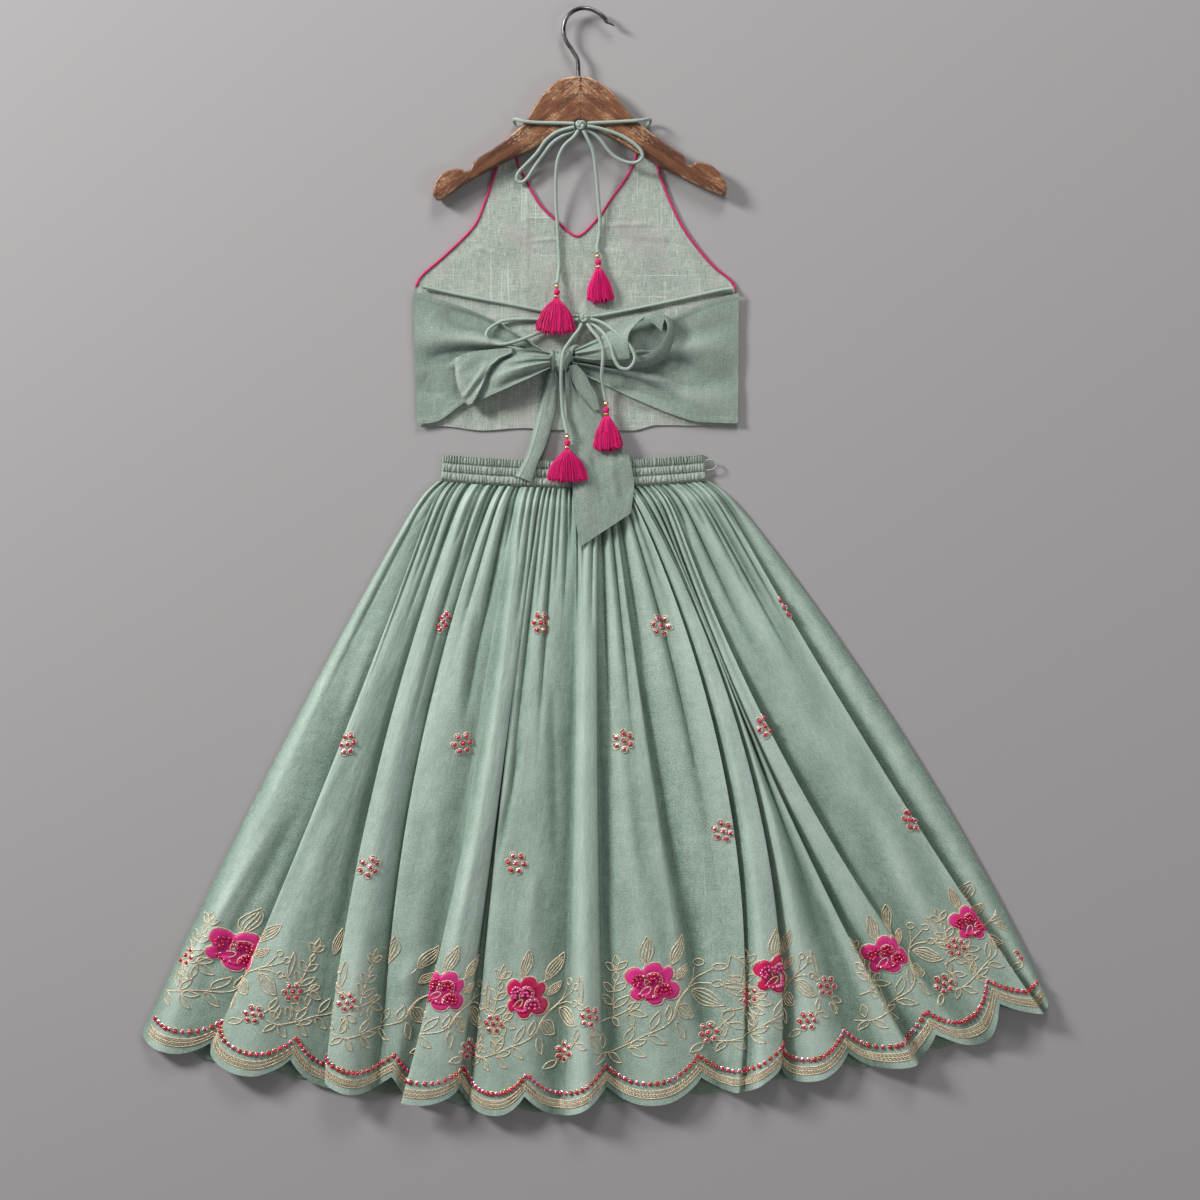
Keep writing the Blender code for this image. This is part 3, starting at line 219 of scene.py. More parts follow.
# Cords: radius and the routes of the bow at the neck and the bow at the back, as in the solids.
CORD_RADIUS = 1.8
NECK_KNOT = (-14.5, 444.5, 20.3)
BACK_KNOT = (-10.5, 249.5, 6.8)
CORD_ROUTES = {
    "neck_cord_left": ((-80.5, 445.2, 2.2), (-82.5, 449.5, 4.6), (-82.5, 451.6, 9.6), (-79, 450.6, 15),
    (-71, 448.2, 17.5), (-58, 447.2, 17.4), (-40, 446.8, 17.5), (-28, 446.4, 18), (-21, 446, 18.6)),
    "neck_cord_right": ((53, 445.4, 2.2), (56, 449.5, 4.6), (56, 451.8, 9.6), (52, 450.8, 15), (43, 449.2, 17.5),
    (30, 448.4, 17.4), (12, 447.4, 17.5), (0, 446.8, 18), (-8, 446, 18.6)),
    "neck_loop_left": ((-21, 442, 21), (-28, 440.6, 20.4), (-39, 437, 18.8), (-50, 429, 16.8), (-59, 417, 13.6),
    (-69, 407, 9.8), (-78, 398, 6.8), (-80, 391, 5.6), (-75, 388, 5.4), (-68.5, 393, 6), (-62, 403, 8.6),
    (-53, 415, 12.4), (-44, 426, 15.8), (-34, 433, 17.2), (-25, 436.6, 17.8), (-20, 439, 18.2)),
    "neck_loop_right": ((-8, 443, 21), (-1, 442, 20.6), (12, 439, 19), (26, 434, 17.8), (38, 427, 17.4),
    (46.5, 419, 17.3), (48, 411.5, 16.6), (42, 407, 15.2), (32, 407.5, 13.8), (21, 412.5, 13.8), (13, 420, 14.8),
    (7, 428, 16.4), (1, 434, 17.2), (-5, 437.5, 17.8), (-9, 439, 18.2)),
    "neck_tail_left": ((-17, 438.6, 21.6), (-21.5, 432, 21.4), (-31, 423.5, 20.2), (-37, 412, 17.8),
    (-39.5, 398, 14.6), (-40, 380, 10.6), (-39.5, 362, 7.4), (-38.5, 347, 5.4), (-37.5, 328, 3.6),
    (-36.5, 306, 3.5), (-37.5, 294, 5.2), (-38.5, 285, 7.4)),
    "neck_tail_right": ((-12, 438.6, 22.4), (-8, 431, 21.8), (-2, 418, 19), (0.5, 402, 15.2), (2.5, 384, 11),
    (4, 365, 7.4), (5, 350, 5.6), (4.5, 336, 4), (2.5, 324, 4.6), (2.5, 316, 5.9)),
    "back_cord_left": ((-176, 281.5, 5.6), (-166, 279.5, 4.8), (-148, 275.5, 3.7), (-120, 270, 3.5),
    (-90, 264.5, 3.5), (-60, 258.5, 3.5), (-35, 254, 3.8), (-17.4, 251.4, 5)),
    "back_cord_right": ((141, 279.5, 5.6), (131, 278.5, 4.8), (112, 274.5, 3.7), (85, 268.5, 3.5), (55, 262, 3.5),
    (25, 256, 3.5), (8, 252.8, 3.8), (-3.6, 251.2, 5)),
    "back_loop_left": ((-17, 247.8, 8.6), (-23, 247.4, 7.2), (-30, 247.3, 5.5), (-40, 247.4, 4.2), (-54, 248, 3.9),
    (-72, 248.6, 4.2), (-92, 247, 5.2), (-106, 240, 7), (-111, 231.5, 7.8), (-105, 224, 8.2), (-93, 222.4, 8.4),
    (-76, 227, 7.9), (-56, 235, 5.4), (-36, 241, 4.2), (-23, 244, 4.2), (-16.8, 245.8, 4.4)),
    "back_loop_right": ((-4.2, 248, 9), (4, 245.6, 10.4), (14, 240, 14), (25, 230, 18.4), (36, 219, 21),
    (40.5, 207, 21.6), (34.5, 197, 20.6), (25, 198, 19.8), (19, 208, 19.6), (16, 220, 18.6), (10.5, 231, 15.2),
    (3, 239, 9.6), (-4, 243.6, 6.4)),
    "back_tail_left": ((-13.6, 243.4, 8.8), (-17, 236.5, 11.8), (-24, 227, 15.4), (-32, 214, 16.6),
    (-34, 200, 16.6), (-34.5, 186, 13.6), (-34, 170, 9.8), (-33, 154, 9), (-30.5, 141, 10.8), (-28.3, 131, 13.2)),
    "back_tail_right": ((-8, 243.2, 10.6), (-3, 236, 14.2), (4.5, 226, 17.6), (8, 214, 18.4), (7.5, 200, 17.8),
    (7, 188, 13.8), (9, 176, 9.6), (11, 165, 8.2)),
}

# Tassels: where the cord ends, the heading and rise in degrees, the skirt's length and half width.
TASSELS = (
    # name, x, y, z, heading, rise, length, half width
    ("neck_left", -38.6, 284.6, 7.4, -92, 6, 31, 20.5), ("neck_right", 2.6, 315.6, 5.9, -86, 0, 29, 14),
    ("back_left", -28.2, 130.6, 13.3, -90, 2, 28, 21), ("back_right", 11.1, 164.6, 8.2, -87, 5.5, 30, 15))
GOLD_BEAD_RADIUS = 2.6
WRAPPED_BEAD_RADIUS = 3.3
RING_RADIUS = 3.2
RING_HALF_THICK = 1.0
TASSEL_HEAD_RADIUS = 4.2

# Hanger: the upper and lower outline of the wood, as in the solids, and the wire hook.
HANGER_FLOOR = 3.1
HANGER_THICK = 12.0
HANGER_TOP = (
    (-159, 367), (-166, 374), (-163, 389), (-154, 398), (-138, 402), (-133, 398.5), (-127, 399), (-125, 407),
    (-119, 412), (-96, 426), (-72, 447), (-58, 471), (-44, 487), (-31, 494), (-16, 495.5), (-4, 494), (12, 485),
    (26, 469), (39, 452), (54, 440), (72, 426), (91, 415), (93, 405.5), (99, 404), (103, 409), (117, 406),
    (129, 396), (135, 382), (133, 374), (126, 374))
HANGER_BOTTOM = (
    (94, 389), (54, 410), (21, 431), (3, 440), (-12, 448.5), (-16, 450), (-20, 448.5), (-35, 440), (-58, 424),
    (-94, 407), (-134, 386))
HANGER_ROUNDING = (
    # inward from the outline, height over the lower face, wear
    (2, 0, 0), (0.6, 0.4, 0.5), (0, 1.8, 0.3), (0, 9.6, 0.3), (0.35, 11, 0.8), (1.1, 11.8, 1), (2.3, 12, 0.45),
    (3, 12, 0))
HOOK_RADIUS = 2.1
HOOK_ROUTE = (
    (-16.5, 491), (-17, 504), (-18, 513), (-23, 522), (-29, 531), (-32, 541), (-30.5, 552), (-25, 560),
    (-16, 564.6), (-6, 564.6), (4, 560), (10, 554.6), (12, 551.4), (15, 550.2), (20, 547.8))
LOOP_ROUTE = ((112.6, 104), (118, 105), (123, 102.5), (124, 98.5), (120, 95), (113.5, 94))
LOOP_RADIUS = 0.8
LOOP_HEIGHT = 5.4


def smooth_curve(points: Sequence[Sequence[float]], count: int) -> Array:
    """Even steps along a Catmull-Rom curve through the points, its ends carried straight on.

    Args:
        points: places that the curve passes through.
        count: how many even steps to return.

    Returns:
        An array of count places, resampled by travelled length.
    """
    route = np.asarray(points, dtype=float)
    route = np.vstack((2.0 * route[0] - route[1], route, 2.0 * route[-1] - route[-2]))
    share = np.linspace(0.0, 1.0, 24, endpoint=False)[:, None]
    runs = [0.5 * (2.0 * start + (end - before) * share
                   + (2.0 * before - 5.0 * start + 4.0 * end - after) * share ** 2
                   + (3.0 * start - before - 3.0 * end + after) * share ** 3)
            for before, start, end, after in zip(route, route[1:], route[2:], route[3:])]
    return resampled(np.vstack(runs + [route[-2:-1]]), count)


def travelled(line: Array) -> Array:
    """Length run along a polyline at each of its places, from 0 on."""
    return np.concatenate(([0.0], np.cumsum(np.linalg.norm(np.diff(line, axis=0), axis=1))))


def resampled(line: Array, stops: Array | int) -> Array:
    """Places of a polyline at stops along its length, or at so many even ones."""
    run = travelled(line)
    stops = np.linspace(0.0, run[-1], stops) if isinstance(stops, int) else stops
    return np.stack([np.interp(stops, run, axis) for axis in line.T], axis=1)


def path_length(path: Array) -> float:
    """Length of a polyline."""
    return float(travelled(path)[-1])


def shares(count: int) -> Array:
    """Even steps from 0 to 1."""
    return np.linspace(0.0, 1.0, count)


def circle(a: float, b: float, reach: float, angles: Array, stretch: float = 1.0) -> Array:
    """Places on a circle round a, b, stretched along the first axis."""
    return np.stack((a + reach * np.cos(angles) * stretch, b + reach * np.sin(angles)), axis=1)


def ease(value: Array, low: float, high: float) -> Array:
    """Smooth step from 0 at low to 1 at high."""
    share = np.clip((value - low) / (high - low), 0.0, 1.0)
    return share * share * (3.0 - 2.0 * share)


def monotone(stations: Array, values: Array, wanted: Array) -> Array:
    """Cubic through values at stations that never overshoots: harmonic slopes, and zero at a crest.

    Args:
        stations: rising places.
        values: one value at each station.
        wanted: places to read.

    Returns:
        The value at each wanted place.
    """
    widths = np.diff(stations)
    slopes = np.diff(values) / widths
    tangents = np.concatenate((slopes[:1], harmonic(slopes[1:], slopes[:-1]), slopes[-1:]))
    cell = np.clip(np.searchsorted(stations, wanted) - 1, 0, len(widths) - 1)
    return hermite((wanted - stations[cell]) / widths[cell], values[cell], values[cell + 1],
                   tangents[cell] * widths[cell], tangents[cell + 1] * widths[cell])


def harmonic(first: Array, second: Array) -> Array:
    """Harmonic mean of two slopes, or zero where they differ in sign."""
    same = first * second > 0.0
    return np.where(same, 2.0 * first * second / np.where(same, first + second, 1.0), 0.0)


def hermite(t: Array, start: Array, end: Array, leave: Array, arrive: Array) -> Array:
    """Cubic from start to end as t runs 0 to 1, with its slope at both ends."""
    return ((2 * t ** 3 - 3 * t ** 2 + 1) * start + (t ** 3 - 2 * t ** 2 + t) * leave
            + (3 * t ** 2 - 2 * t ** 3) * end + (t ** 3 - t ** 2) * arrive)


def unit(vectors: Array) -> Array:
    """Vectors of length 1 in the same direction."""
    return vectors / np.maximum(np.linalg.norm(vectors, axis=-1, keepdims=True), 1e-9)


def drift(x: Array, y: Array, seed: int) -> Array:
    """Smooth uneven field between -1 and 1: a seeded lattice of values, blended with a smooth step."""
    lattice = np.random.default_rng(seed).uniform(-1.0, 1.0, (64, 64))
    column, row = np.floor(x).astype(int), np.floor(y).astype(int)
    across, down = ease(x - column, 0.0, 1.0), ease(y - row, 0.0, 1.0)
    near = lattice[row % 64, column % 64] * (1.0 - across) + lattice[row % 64, (column + 1) % 64] * across
    far = (lattice[(row + 1) % 64, column % 64] * (1.0 - across)
           + lattice[(row + 1) % 64, (column + 1) % 64] * across)
    return near * (1.0 - down) + far * down


def operator(kind: str, second: bool = False) -> Callable[[Value, Value | float], Value]:
    """Operator that adds a Math node, with its own value as the second number if told so."""

    def result(value: Value, other: Value | float) -> Value:
        """What the Math node gives."""
        return value.graph.math(kind, *((other, value) if second else (value, other)))

    return result


class Value:
    """A number or colour on its way through a shader, whose operators add Math nodes."""

    def __init__(self, graph: Graph, source: bpy.types.NodeSocket) -> None:
        """Keep the graph and the output socket that carries the value."""
        self.graph = graph
        self.source = source

    __add__ = __radd__ = operator("ADD")
    __mul__ = __rmul__ = operator("MULTIPLY")
    __sub__ = operator("SUBTRACT")
    __rsub__ = operator("SUBTRACT", True)

    def between(self, low: float, high: float) -> Value:
        """Smooth share from 0 at low to 1 at high."""
        node = self.graph.add("ShaderNodeMapRange", {"interpolation_type": "SMOOTHSTEP"},
                              {0: self, 1: low, 2: high})
        return Value(self.graph, node.outputs[0])


class Graph:
    """Nodes of one material round its Principled shader."""

    LINKED = ("Base Color", "Roughness", "Metallic", "Coat Weight", "Alpha", "Emission Color", "Normal")

    def __init__(self, name: str) -> None:
        """Make the material and find its shader."""
        self.material = bpy.data.materials.new(name)
        self.material.use_nodes = True
        self.tree = self.material.node_tree
        self.shader = self.tree.nodes["Principled BSDF"]

    def add(self, kind: str, settings: dict, inputs: dict) -> bpy.types.Node:
        """Add a node of any kind.

        Args:
            kind: Blender's node type.
            settings: attributes that are set first; stops are a ramp's places and colours.
            inputs: values or links by socket name or number.

        Returns:
            The node.
        """
        node = self.tree.nodes.new(kind)
        for key, value in settings.items():
            if key == "stops":
                ramp = node.color_ramp
                while len(ramp.elements) < len(value):
                    ramp.elements.new(1.0)
                for element, (place, colour) in zip(ramp.elements, value):
                    element.position = place
                    element.color = (*colour, 1.0)
            else:
                setattr(node, key, value)
        for key, value in inputs.items():
            if isinstance(value, Value):
                self.tree.links.new(value.source, node.inputs[key])
            else:
                node.inputs[key].default_value = value
        return node

    def math(self, operation: str, *operands: Value | float) -> Value:
        """Math node on its operands in order."""
        node = self.add("ShaderNodeMath", {"operation": operation}, dict(enumerate(operands)))
        return Value(self, node.outputs[0])

    def cloth_place(self) -> Value:
        """Place on the cloth: the piece's own UV map, in metres."""
        return Value(self, self.add("ShaderNodeUVMap", {"uv_map": "UVMap"}, {}).outputs[0])

    def object_place(self) -> Value:
        """Place in the frame of the solids, in metres."""
        return Value(self, self.add("ShaderNodeTexCoord", {}, {}).outputs["Object"])

    def parts(self, vector: Value) -> tuple[Value, Value, Value]:
        """The three numbers of a vector."""
        node = self.add("ShaderNodeSeparateXYZ", {}, {0: vector})
        return tuple(Value(self, socket) for socket in node.outputs)

    def vector(self, x: Value | float, y: Value | float, z: Value | float = 0.0) -> Value:
        """Vector from three numbers."""
        return Value(self, self.add("ShaderNodeCombineXYZ", {}, {0: x, 1: y, 2: z}).outputs[0])

    def stretched(self, vector: Value, scale: Colour) -> Value:
        """Vector times a scale along each axis."""
        node = self.add("ShaderNodeVectorMath", {"operation": "MULTIPLY"}, {0: vector, 1: scale})
        return Value(self, node.outputs[0])

    def noise(self, vector: Value, scale: float, detail: float = 2.0, roughness: float = 0.5) -> Value:
        """Noise from 0 to 1, most of it near the middle."""
        node = self.add("ShaderNodeTexNoise", {}, {"Vector": vector, "Scale": scale, "Detail": detail,
                                                   "Roughness": roughness})
        return Value(self, node.outputs[0])

    def streaks(self, vector: Value, scale: Colour, detail: float = 2.0, roughness: float = 0.5) -> Value:
        """Noise with a scale of its own along each axis."""
        return self.noise(self.stretched(vector, scale), 1.0, detail, roughness)

    def attribute(self, name: str) -> Value:
        """A number that the mesh carries."""
        return Value(self, self.add("ShaderNodeAttribute", {"attribute_name": name}, {}).outputs["Fac"])

    def ramp(self, share: Value, stops: Sequence[tuple[float, Colour]]) -> Value:
        """Colour from a ramp of stops."""
        return Value(self, self.add("ShaderNodeValToRGB", {"stops": stops}, {0: share}).outputs[0])

    def mix(self, share: Value, first: Value | tuple, second: Value | tuple) -> Value:
        """Colour between two, by a share from 0 to 1."""
        first, second = (c if isinstance(c, Value) else (*c, 1.0) for c in (first, second))
        node = self.add("ShaderNodeMix", {"data_type": "RGBA"}, {0: share, 6: first, 7: second})
        return Value(self, node.outputs[2])

    def bump(self, height: Value, strength: float, distance: float) -> Value:
        """Normal of a surface that a height raises."""
        node = self.add("ShaderNodeBump", {}, {"Height": height, "Strength": strength, "Distance": distance})
        return Value(self, node.outputs[0])

    def finish(self, **sockets: Value | float | tuple) -> bpy.types.Material:
        """Set the shader's sockets, spelled with underscores, and return the material."""
        for key, value in sockets.items():
            name = key.replace("_", " ")
            if isinstance(value, Value):
                if name not in self.LINKED:
                    raise ValueError(f"{name} takes a constant")
                self.tree.links.new(value.source, self.shader.inputs[name])
            else:
                self.shader.inputs[name].default_value = value
        return self.material


@dataclass(frozen=True)
class Finish:
    """Surface of one kind; material() makes it once and then gives it again."""

    name: str

    def material(self) -> bpy.types.Material:
        """The finish as a material."""
        return bpy.data.materials.get(self.name) or self.make(Graph(self.name))

    def make(self, graph: Graph) -> bpy.types.Material:
        """Build the shader in a fresh graph."""
        raise NotImplementedError


@dataclass(frozen=True)
class SlubCloth(Finish):
    """Plain weave with slubs along warp and weft, heathered over five tones, nearly matt and a little crumpled;
    painted shade in its folds' hollows and painted light on their ridges.
    """

    deep: Colour
    middle: Colour
    pale: Colour
    slub: float = 0.5
    weave: float = 0.5
    sheen: float = 0.07
    roughness: float = 0.62
    blush: Colour | None = None
    STOPS: ClassVar[tuple[float, ...]] = (0.02, 0.26, 0.5, 0.77, 0.98)

    def make(self, graph: Graph) -> bpy.types.Material:
        """Stretched noise along each thread direction, broad mottling, and painted shade and light of the folds from
        the mesh's tone.
        """
        place = graph.cloth_place()
        warp = graph.streaks(place, (1500.0, 90.0, 1.0), 2.0)
        weft = graph.streaks(place, (90.0, 1500.0, 1.0), 2.0)
        slubs = graph.streaks(place, (700.0, 9.0, 1.0), 1.0).between(0.62, 0.78)
        cross_slubs = graph.streaks(place, (9.0, 700.0, 1.0), 1.0).between(0.64, 0.80)
        heather = graph.noise(place, 950.0, 2.0, 0.6)
        cloud = graph.noise(place, 26.0, 3.0, 0.55)
        mottle = graph.streaks(place, (240.0, 120.0, 1.0), 3.0, 0.6)
        crumple = graph.streaks(place, (75.0, 38.0, 1.0), 3.0, 0.5)
        threads = (warp + weft) * 0.5
        # The mesh's tone paints shade into the folds' hollows and light onto their ridges; weave, heather, clouds
        # and slubs are the cloth's own.
        tone = ((threads - 0.5) * (1.15 * self.weave) + (heather - 0.5) * 1.1 + (cloud + mottle - 1.0) * 0.3
                + (slubs + cross_slubs) * (0.26 * self.slub) + (graph.attribute("tone") - 0.5) * 0.52 + 0.5)
        # Stops past the pale and deep tones, reached partly in the painted light of high ridges and the painted
        # shade of deep hollows.
        brightest = tuple(1.62 * high - 0.62 * low for high, low in zip(self.pale, self.middle))
        darkest = tuple(0.55 * part for part in self.deep)
        colour = graph.ramp(tone, tuple(zip(self.STOPS, (darkest, self.deep, self.middle, self.pale, brightest))))
        if self.blush:
            patches = graph.noise(place, 17.0, 3.0, 0.6).between(0.46, 0.66)
            colour = graph.mix(patches * 0.55, colour, self.blush)
        height = threads + (slubs + cross_slubs) * (0.5 * self.slub) + heather * 0.4 + crumple * 6.5
        return graph.finish(Base_Color=colour, Roughness=(tone * -0.16) + (self.roughness + 0.08),
                            Normal=graph.bump(height, 0.28, 0.0006), Sheen_Weight=self.sheen,
                            Sheen_Roughness=0.45, Sheen_Tint=(*self.pale, 1.0), Specular_IOR_Level=0.35)


@dataclass(frozen=True)
class CordCloth(Finish):
    """Bias-cut cloth sewn round a cord: threads at a slant and slight wear."""

    deep: Colour
    pale: Colour
    roughness: float = 0.6

    def make(self, graph: Graph) -> bpy.types.Material:
        """Two slanted sets of threads from the UV map: around the cord and along it."""
        around, along, _ = graph.parts(graph.cloth_place())
        slant = graph.math("SINE", (around * 1000.0 + along * 1000.0) * 4.4)
        other = graph.math("SINE", (around * 1000.0 - along * 1000.0) * 4.4)
        fleck = graph.noise(graph.cloth_place(), 900.0, 2.0)
        tone = (slant + other) * 0.11 + (fleck - 0.5) * 0.9 + 0.5
        colour = graph.ramp(tone, ((0.2, self.deep), (0.8, self.pale)))
        return graph.finish(Base_Color=colour, Roughness=(fleck * 0.2) + (self.roughness - 0.1),
                            Normal=graph.bump(slant + other + fleck, 0.3, 0.0003), Sheen_Weight=0.2,
                            Sheen_Roughness=0.4, Specular_IOR_Level=0.4)


@dataclass(frozen=True)
class SilkThread(Finish):
    """Glossy silk: each strand has its own tone, with fine streaks along it."""

    deep: Colour
    pale: Colour

    def make(self, graph: Graph) -> bpy.types.Material:
        """Tone of the strand from the mesh, streaks from the UV map."""
        place = graph.cloth_place()
        streak = graph.streaks(place, (2600.0, 60.0, 1.0), 2.0)
        tone = graph.attribute("tone") * 0.7 + (streak - 0.5) * 0.9 + 0.15
        colour = graph.ramp(tone, ((0.1, self.deep), (0.9, self.pale)))
        return graph.finish(Base_Color=colour, Roughness=0.55 - streak * 0.25,
                            Normal=graph.bump(streak, 0.25, 0.0003), Sheen_Weight=0.08, Sheen_Roughness=0.3,
                            Specular_IOR_Level=0.35)


@dataclass(frozen=True)
class Zari(Finish):
    """Metal thread wound on a core: fine slanted turns with a painted glint on each and painted shade in the hollows
    between them.
    """

    deep: Colour
    pale: Colour
    metallic: float = 0.55
    turns: float = 5200.0

    def make(self, graph: Graph) -> bpy.types.Material:
        """Turns along the thread from the UV map, painted as glint and shade, and tone of each stretch from the
        mesh.
        """
        place = graph.cloth_place()
        around, along, _ = graph.parts(place)
        turn = graph.math("SINE", along * self.turns + around * 3000.0) * 0.5 + 0.5
        fleck = graph.noise(place, 420.0, 2.0)
        # The turns paint a glint on each crest and shade between crests into the colour; their bump is real.
        tone = turn * 0.45 + graph.attribute("tone") * 0.35 + (fleck - 0.5) * 0.9 + 0.15
        colour = graph.ramp(tone, ((0.15, self.deep), (0.85, self.pale)))
        return graph.finish(Base_Color=colour, Metallic=self.metallic, Roughness=0.52 - tone * 0.2,
                            Normal=graph.bump(turn + fleck, 0.35, 0.0003), Specular_IOR_Level=0.5)


@dataclass(frozen=True)
class GlassBead(Finish):
    """Glossy glass bead, each a little darker or lighter."""

    deep: Colour
    pale: Colour

    def make(self, graph: Graph) -> bpy.types.Material:
        """Tone of each bead from the mesh with faint cloudiness."""
        cloud = graph.noise(graph.object_place(), 900.0, 1.0)
        colour = graph.mix(graph.attribute("tone") * 0.7 + cloud * 0.3, self.deep, self.pale)
        return graph.finish(Base_Color=colour, Roughness=cloud * 0.12 + 0.16, Coat_Weight=0.6,
                            Coat_Roughness=0.08, Normal=graph.bump(cloud, 0.08, 0.0002))


@dataclass(frozen=True)
class Metal(Finish):
    """Polished metal with fine scuffs and dulled patches."""

    deep: Colour
    pale: Colour
    roughness: float = 0.25
    scale: float = 700.0

    def make(self, graph: Graph) -> bpy.types.Material:
        """Patches of two tones and scratches in the roughness."""
        place = graph.object_place()
        patch = graph.noise(place, self.scale * 0.4, 3.0, 0.6)
        scratch = graph.noise(graph.stretched(place, (1.0, 9.0, 1.0)), self.scale, 2.0)
        colour = graph.mix(patch.between(0.3, 0.7), self.deep, self.pale)
        return graph.finish(Base_Color=colour, Metallic=1.0, Roughness=scratch * 0.3 + (self.roughness - 0.1),
                            Normal=graph.bump(scratch + patch, 0.12, 0.0003))


@dataclass(frozen=True)
class WornWood(Finish):
    """Varnished wood whose grain follows each arm of the hanger, with pale scuffs and rubbed edges."""

    deep: Colour
    middle: Colour
    pale: Colour
    bare: Colour
    centre: float = -0.0145
    slope: float = -0.62

    def make(self, graph: Graph) -> bpy.types.Material:
        """Grain in the arm's own direction: mirrored at the middle joint and turned by the arm's slope."""
        x, y, z = graph.parts(graph.object_place())
        out = graph.math("ABSOLUTE", x - self.centre)
        cosine, sine = math.cos(self.slope), math.sin(self.slope)
        along, across = out * cosine + y * sine, y * cosine - out * sine
        place = graph.vector(along, across, z)
        ring = graph.streaks(place, (14.0, 150.0, 60.0), 4.0, 0.6)
        fibre = graph.streaks(place, (90.0, 1400.0, 400.0), 3.0, 0.6)
        grain = (ring - 0.5) * 0.85 + (fibre - 0.5) * 0.55 + 0.5
        wood = graph.ramp(grain, ((0.30, self.deep), (0.5, self.middle), (0.72, self.pale)))
        flake = graph.streaks(place, (170.0, 980.0, 500.0), 5.0, 0.75)
        region = graph.noise(place, 26.0, 3.0)
        scuff = (flake + (region - 0.5) * 0.5).between(0.57, 0.66)
        rubbed = graph.attribute("tone")
        edge = (rubbed * 0.55 + (flake - 0.5) * 1.6 + (region - 0.5) * 1.3 + 0.12).between(0.50, 0.90)
        worn = graph.math("MAXIMUM", scuff * 0.62, edge * 0.75)
        stain = graph.mix(region.between(0.35, 0.7), graph.mix(0.45, wood, self.deep), wood)
        colour = graph.mix(worn, stain, self.bare)
        joint = graph.math("ABSOLUTE", x - self.centre).between(0.0001, 0.0007)
        dark = graph.mix(joint, graph.mix(0.6, colour, self.deep), colour)
        height = grain * 0.5 - worn * 0.8 + joint * 1.2
        return graph.finish(Base_Color=dark, Roughness=worn * 0.25 + 0.38, Coat_Weight=0.22,
                            Coat_Roughness=0.3, Normal=graph.bump(height, 0.35, 0.0006))


@dataclass(frozen=True)
class StudioFloor(Finish):
    """Pale matt paper floor."""

    tone: Colour

    def make(self, graph: Graph) -> bpy.types.Material:
        """Plain tone with a trace of grain."""
        grain = graph.noise(graph.object_place(), 500.0, 2.0)
        colour = graph.mix(grain, tuple(0.985 * c for c in self.tone), tuple(1.015 * c for c in self.tone))
        return graph.finish(Base_Color=colour, Roughness=0.9, Specular_IOR_Level=0.1)


SAGE = SlubCloth("sage_slub_silk", (0.164, 0.240, 0.189), (0.276, 0.371, 0.305), (0.422, 0.520, 0.451))
SAGE_BAND = SlubCloth("sage_band", (0.160, 0.206, 0.167), (0.273, 0.326, 0.275), (0.405, 0.446, 0.391), 0.3)
SAGE_SASH = SlubCloth("sage_sash", (0.142, 0.192, 0.160), (0.229, 0.290, 0.245), (0.345, 0.401, 0.352))
LINING = SlubCloth("lining_slub", (0.228, 0.274, 0.233), (0.354, 0.401, 0.344), (0.543, 0.576, 0.524),
                   1.5, 1.1, 0.1, 0.75, (0.373, 0.336, 0.320))
INNER = SlubCloth("sage_wrong_side", (0.130, 0.190, 0.145), (0.200, 0.275, 0.210), (0.300, 0.380, 0.300))
CORD = CordCloth("cord_cover", (0.245, 0.322, 0.268), (0.431, 0.506, 0.446))
PIPING = CordCloth("piping_cover", (0.430, 0.006, 0.075), (0.720, 0.020, 0.165), 0.45)
PINK_SILK = SilkThread("pink_silk", (0.420, 0.000, 0.075), (0.980, 0.008, 0.235))
PINK_SATIN = SilkThread("pink_satin", (0.420, 0.008, 0.120), (0.760, 0.040, 0.260))
CRIMSON_SATIN = SilkThread("crimson_satin", (0.300, 0.002, 0.040), (0.640, 0.012, 0.110))
GOLD_THREAD = Zari("gold_thread", (0.290, 0.200, 0.110), (0.930, 0.780, 0.550), 0.25)
GOLD_TISSUE = Zari("gold_tissue", (0.200, 0.240, 0.175), (0.430, 0.430, 0.320), 0.1, 2600.0)
CRIMSON_BEAD = GlassBead("crimson_bead", (0.400, 0.004, 0.045), (0.720, 0.016, 0.110))
PINK_BEAD = GlassBead("pink_bead", (0.620, 0.030, 0.200), (0.820, 0.110, 0.330))
SILVER = Metal("silver_sequin", (0.620, 0.600, 0.560), (0.900, 0.880, 0.840), 0.3)
GOLD = Metal("gold_bead", (0.560, 0.380, 0.160), (0.900, 0.700, 0.380), 0.25)
STEEL = Metal("hook_steel", (0.050, 0.050, 0.053), (0.300, 0.300, 0.310), 0.30, 160.0)
WOOD = WornWood("worn_wood", (0.051, 0.017, 0.010), (0.209, 0.079, 0.035), (0.419, 0.183, 0.081),
                (0.710, 0.486, 0.277))
PAPER = StudioFloor("pale_floor", (0.374, 0.356, 0.358))


@dataclass
class Patch:
    """Points in millimetres with their faces, place on the cloth in metres and tone."""

    points: Array
    faces: list[Array]
    uv: Array
    tone: Array
    slots: list[int] = field(default_factory=list)

    def __post_init__(self) -> None:
        """Give every group of faces the first material unless it has its own."""
        if not self.slots:
            self.slots = [0] * len(self.faces)

    def volume(self) -> float:
        """Signed volume inside the faces: positive if they point outwards."""
        total = 0.0
        for group in self.faces:
            first = self.points[group[:, 0]]
            for corner in range(1, group.shape[1] - 1):
                after, last = self.points[group[:, corner]], self.points[group[:, corner + 1]]
                total += float(np.einsum("ij,ij->", first, np.cross(after, last)))
        return total / 6.0

    def outward(self) -> Patch:
        """The same patch with its faces pointing outwards."""
        if self.volume() < 0.0:
            self.faces = [group[:, ::-1] for group in self.faces]
        return self


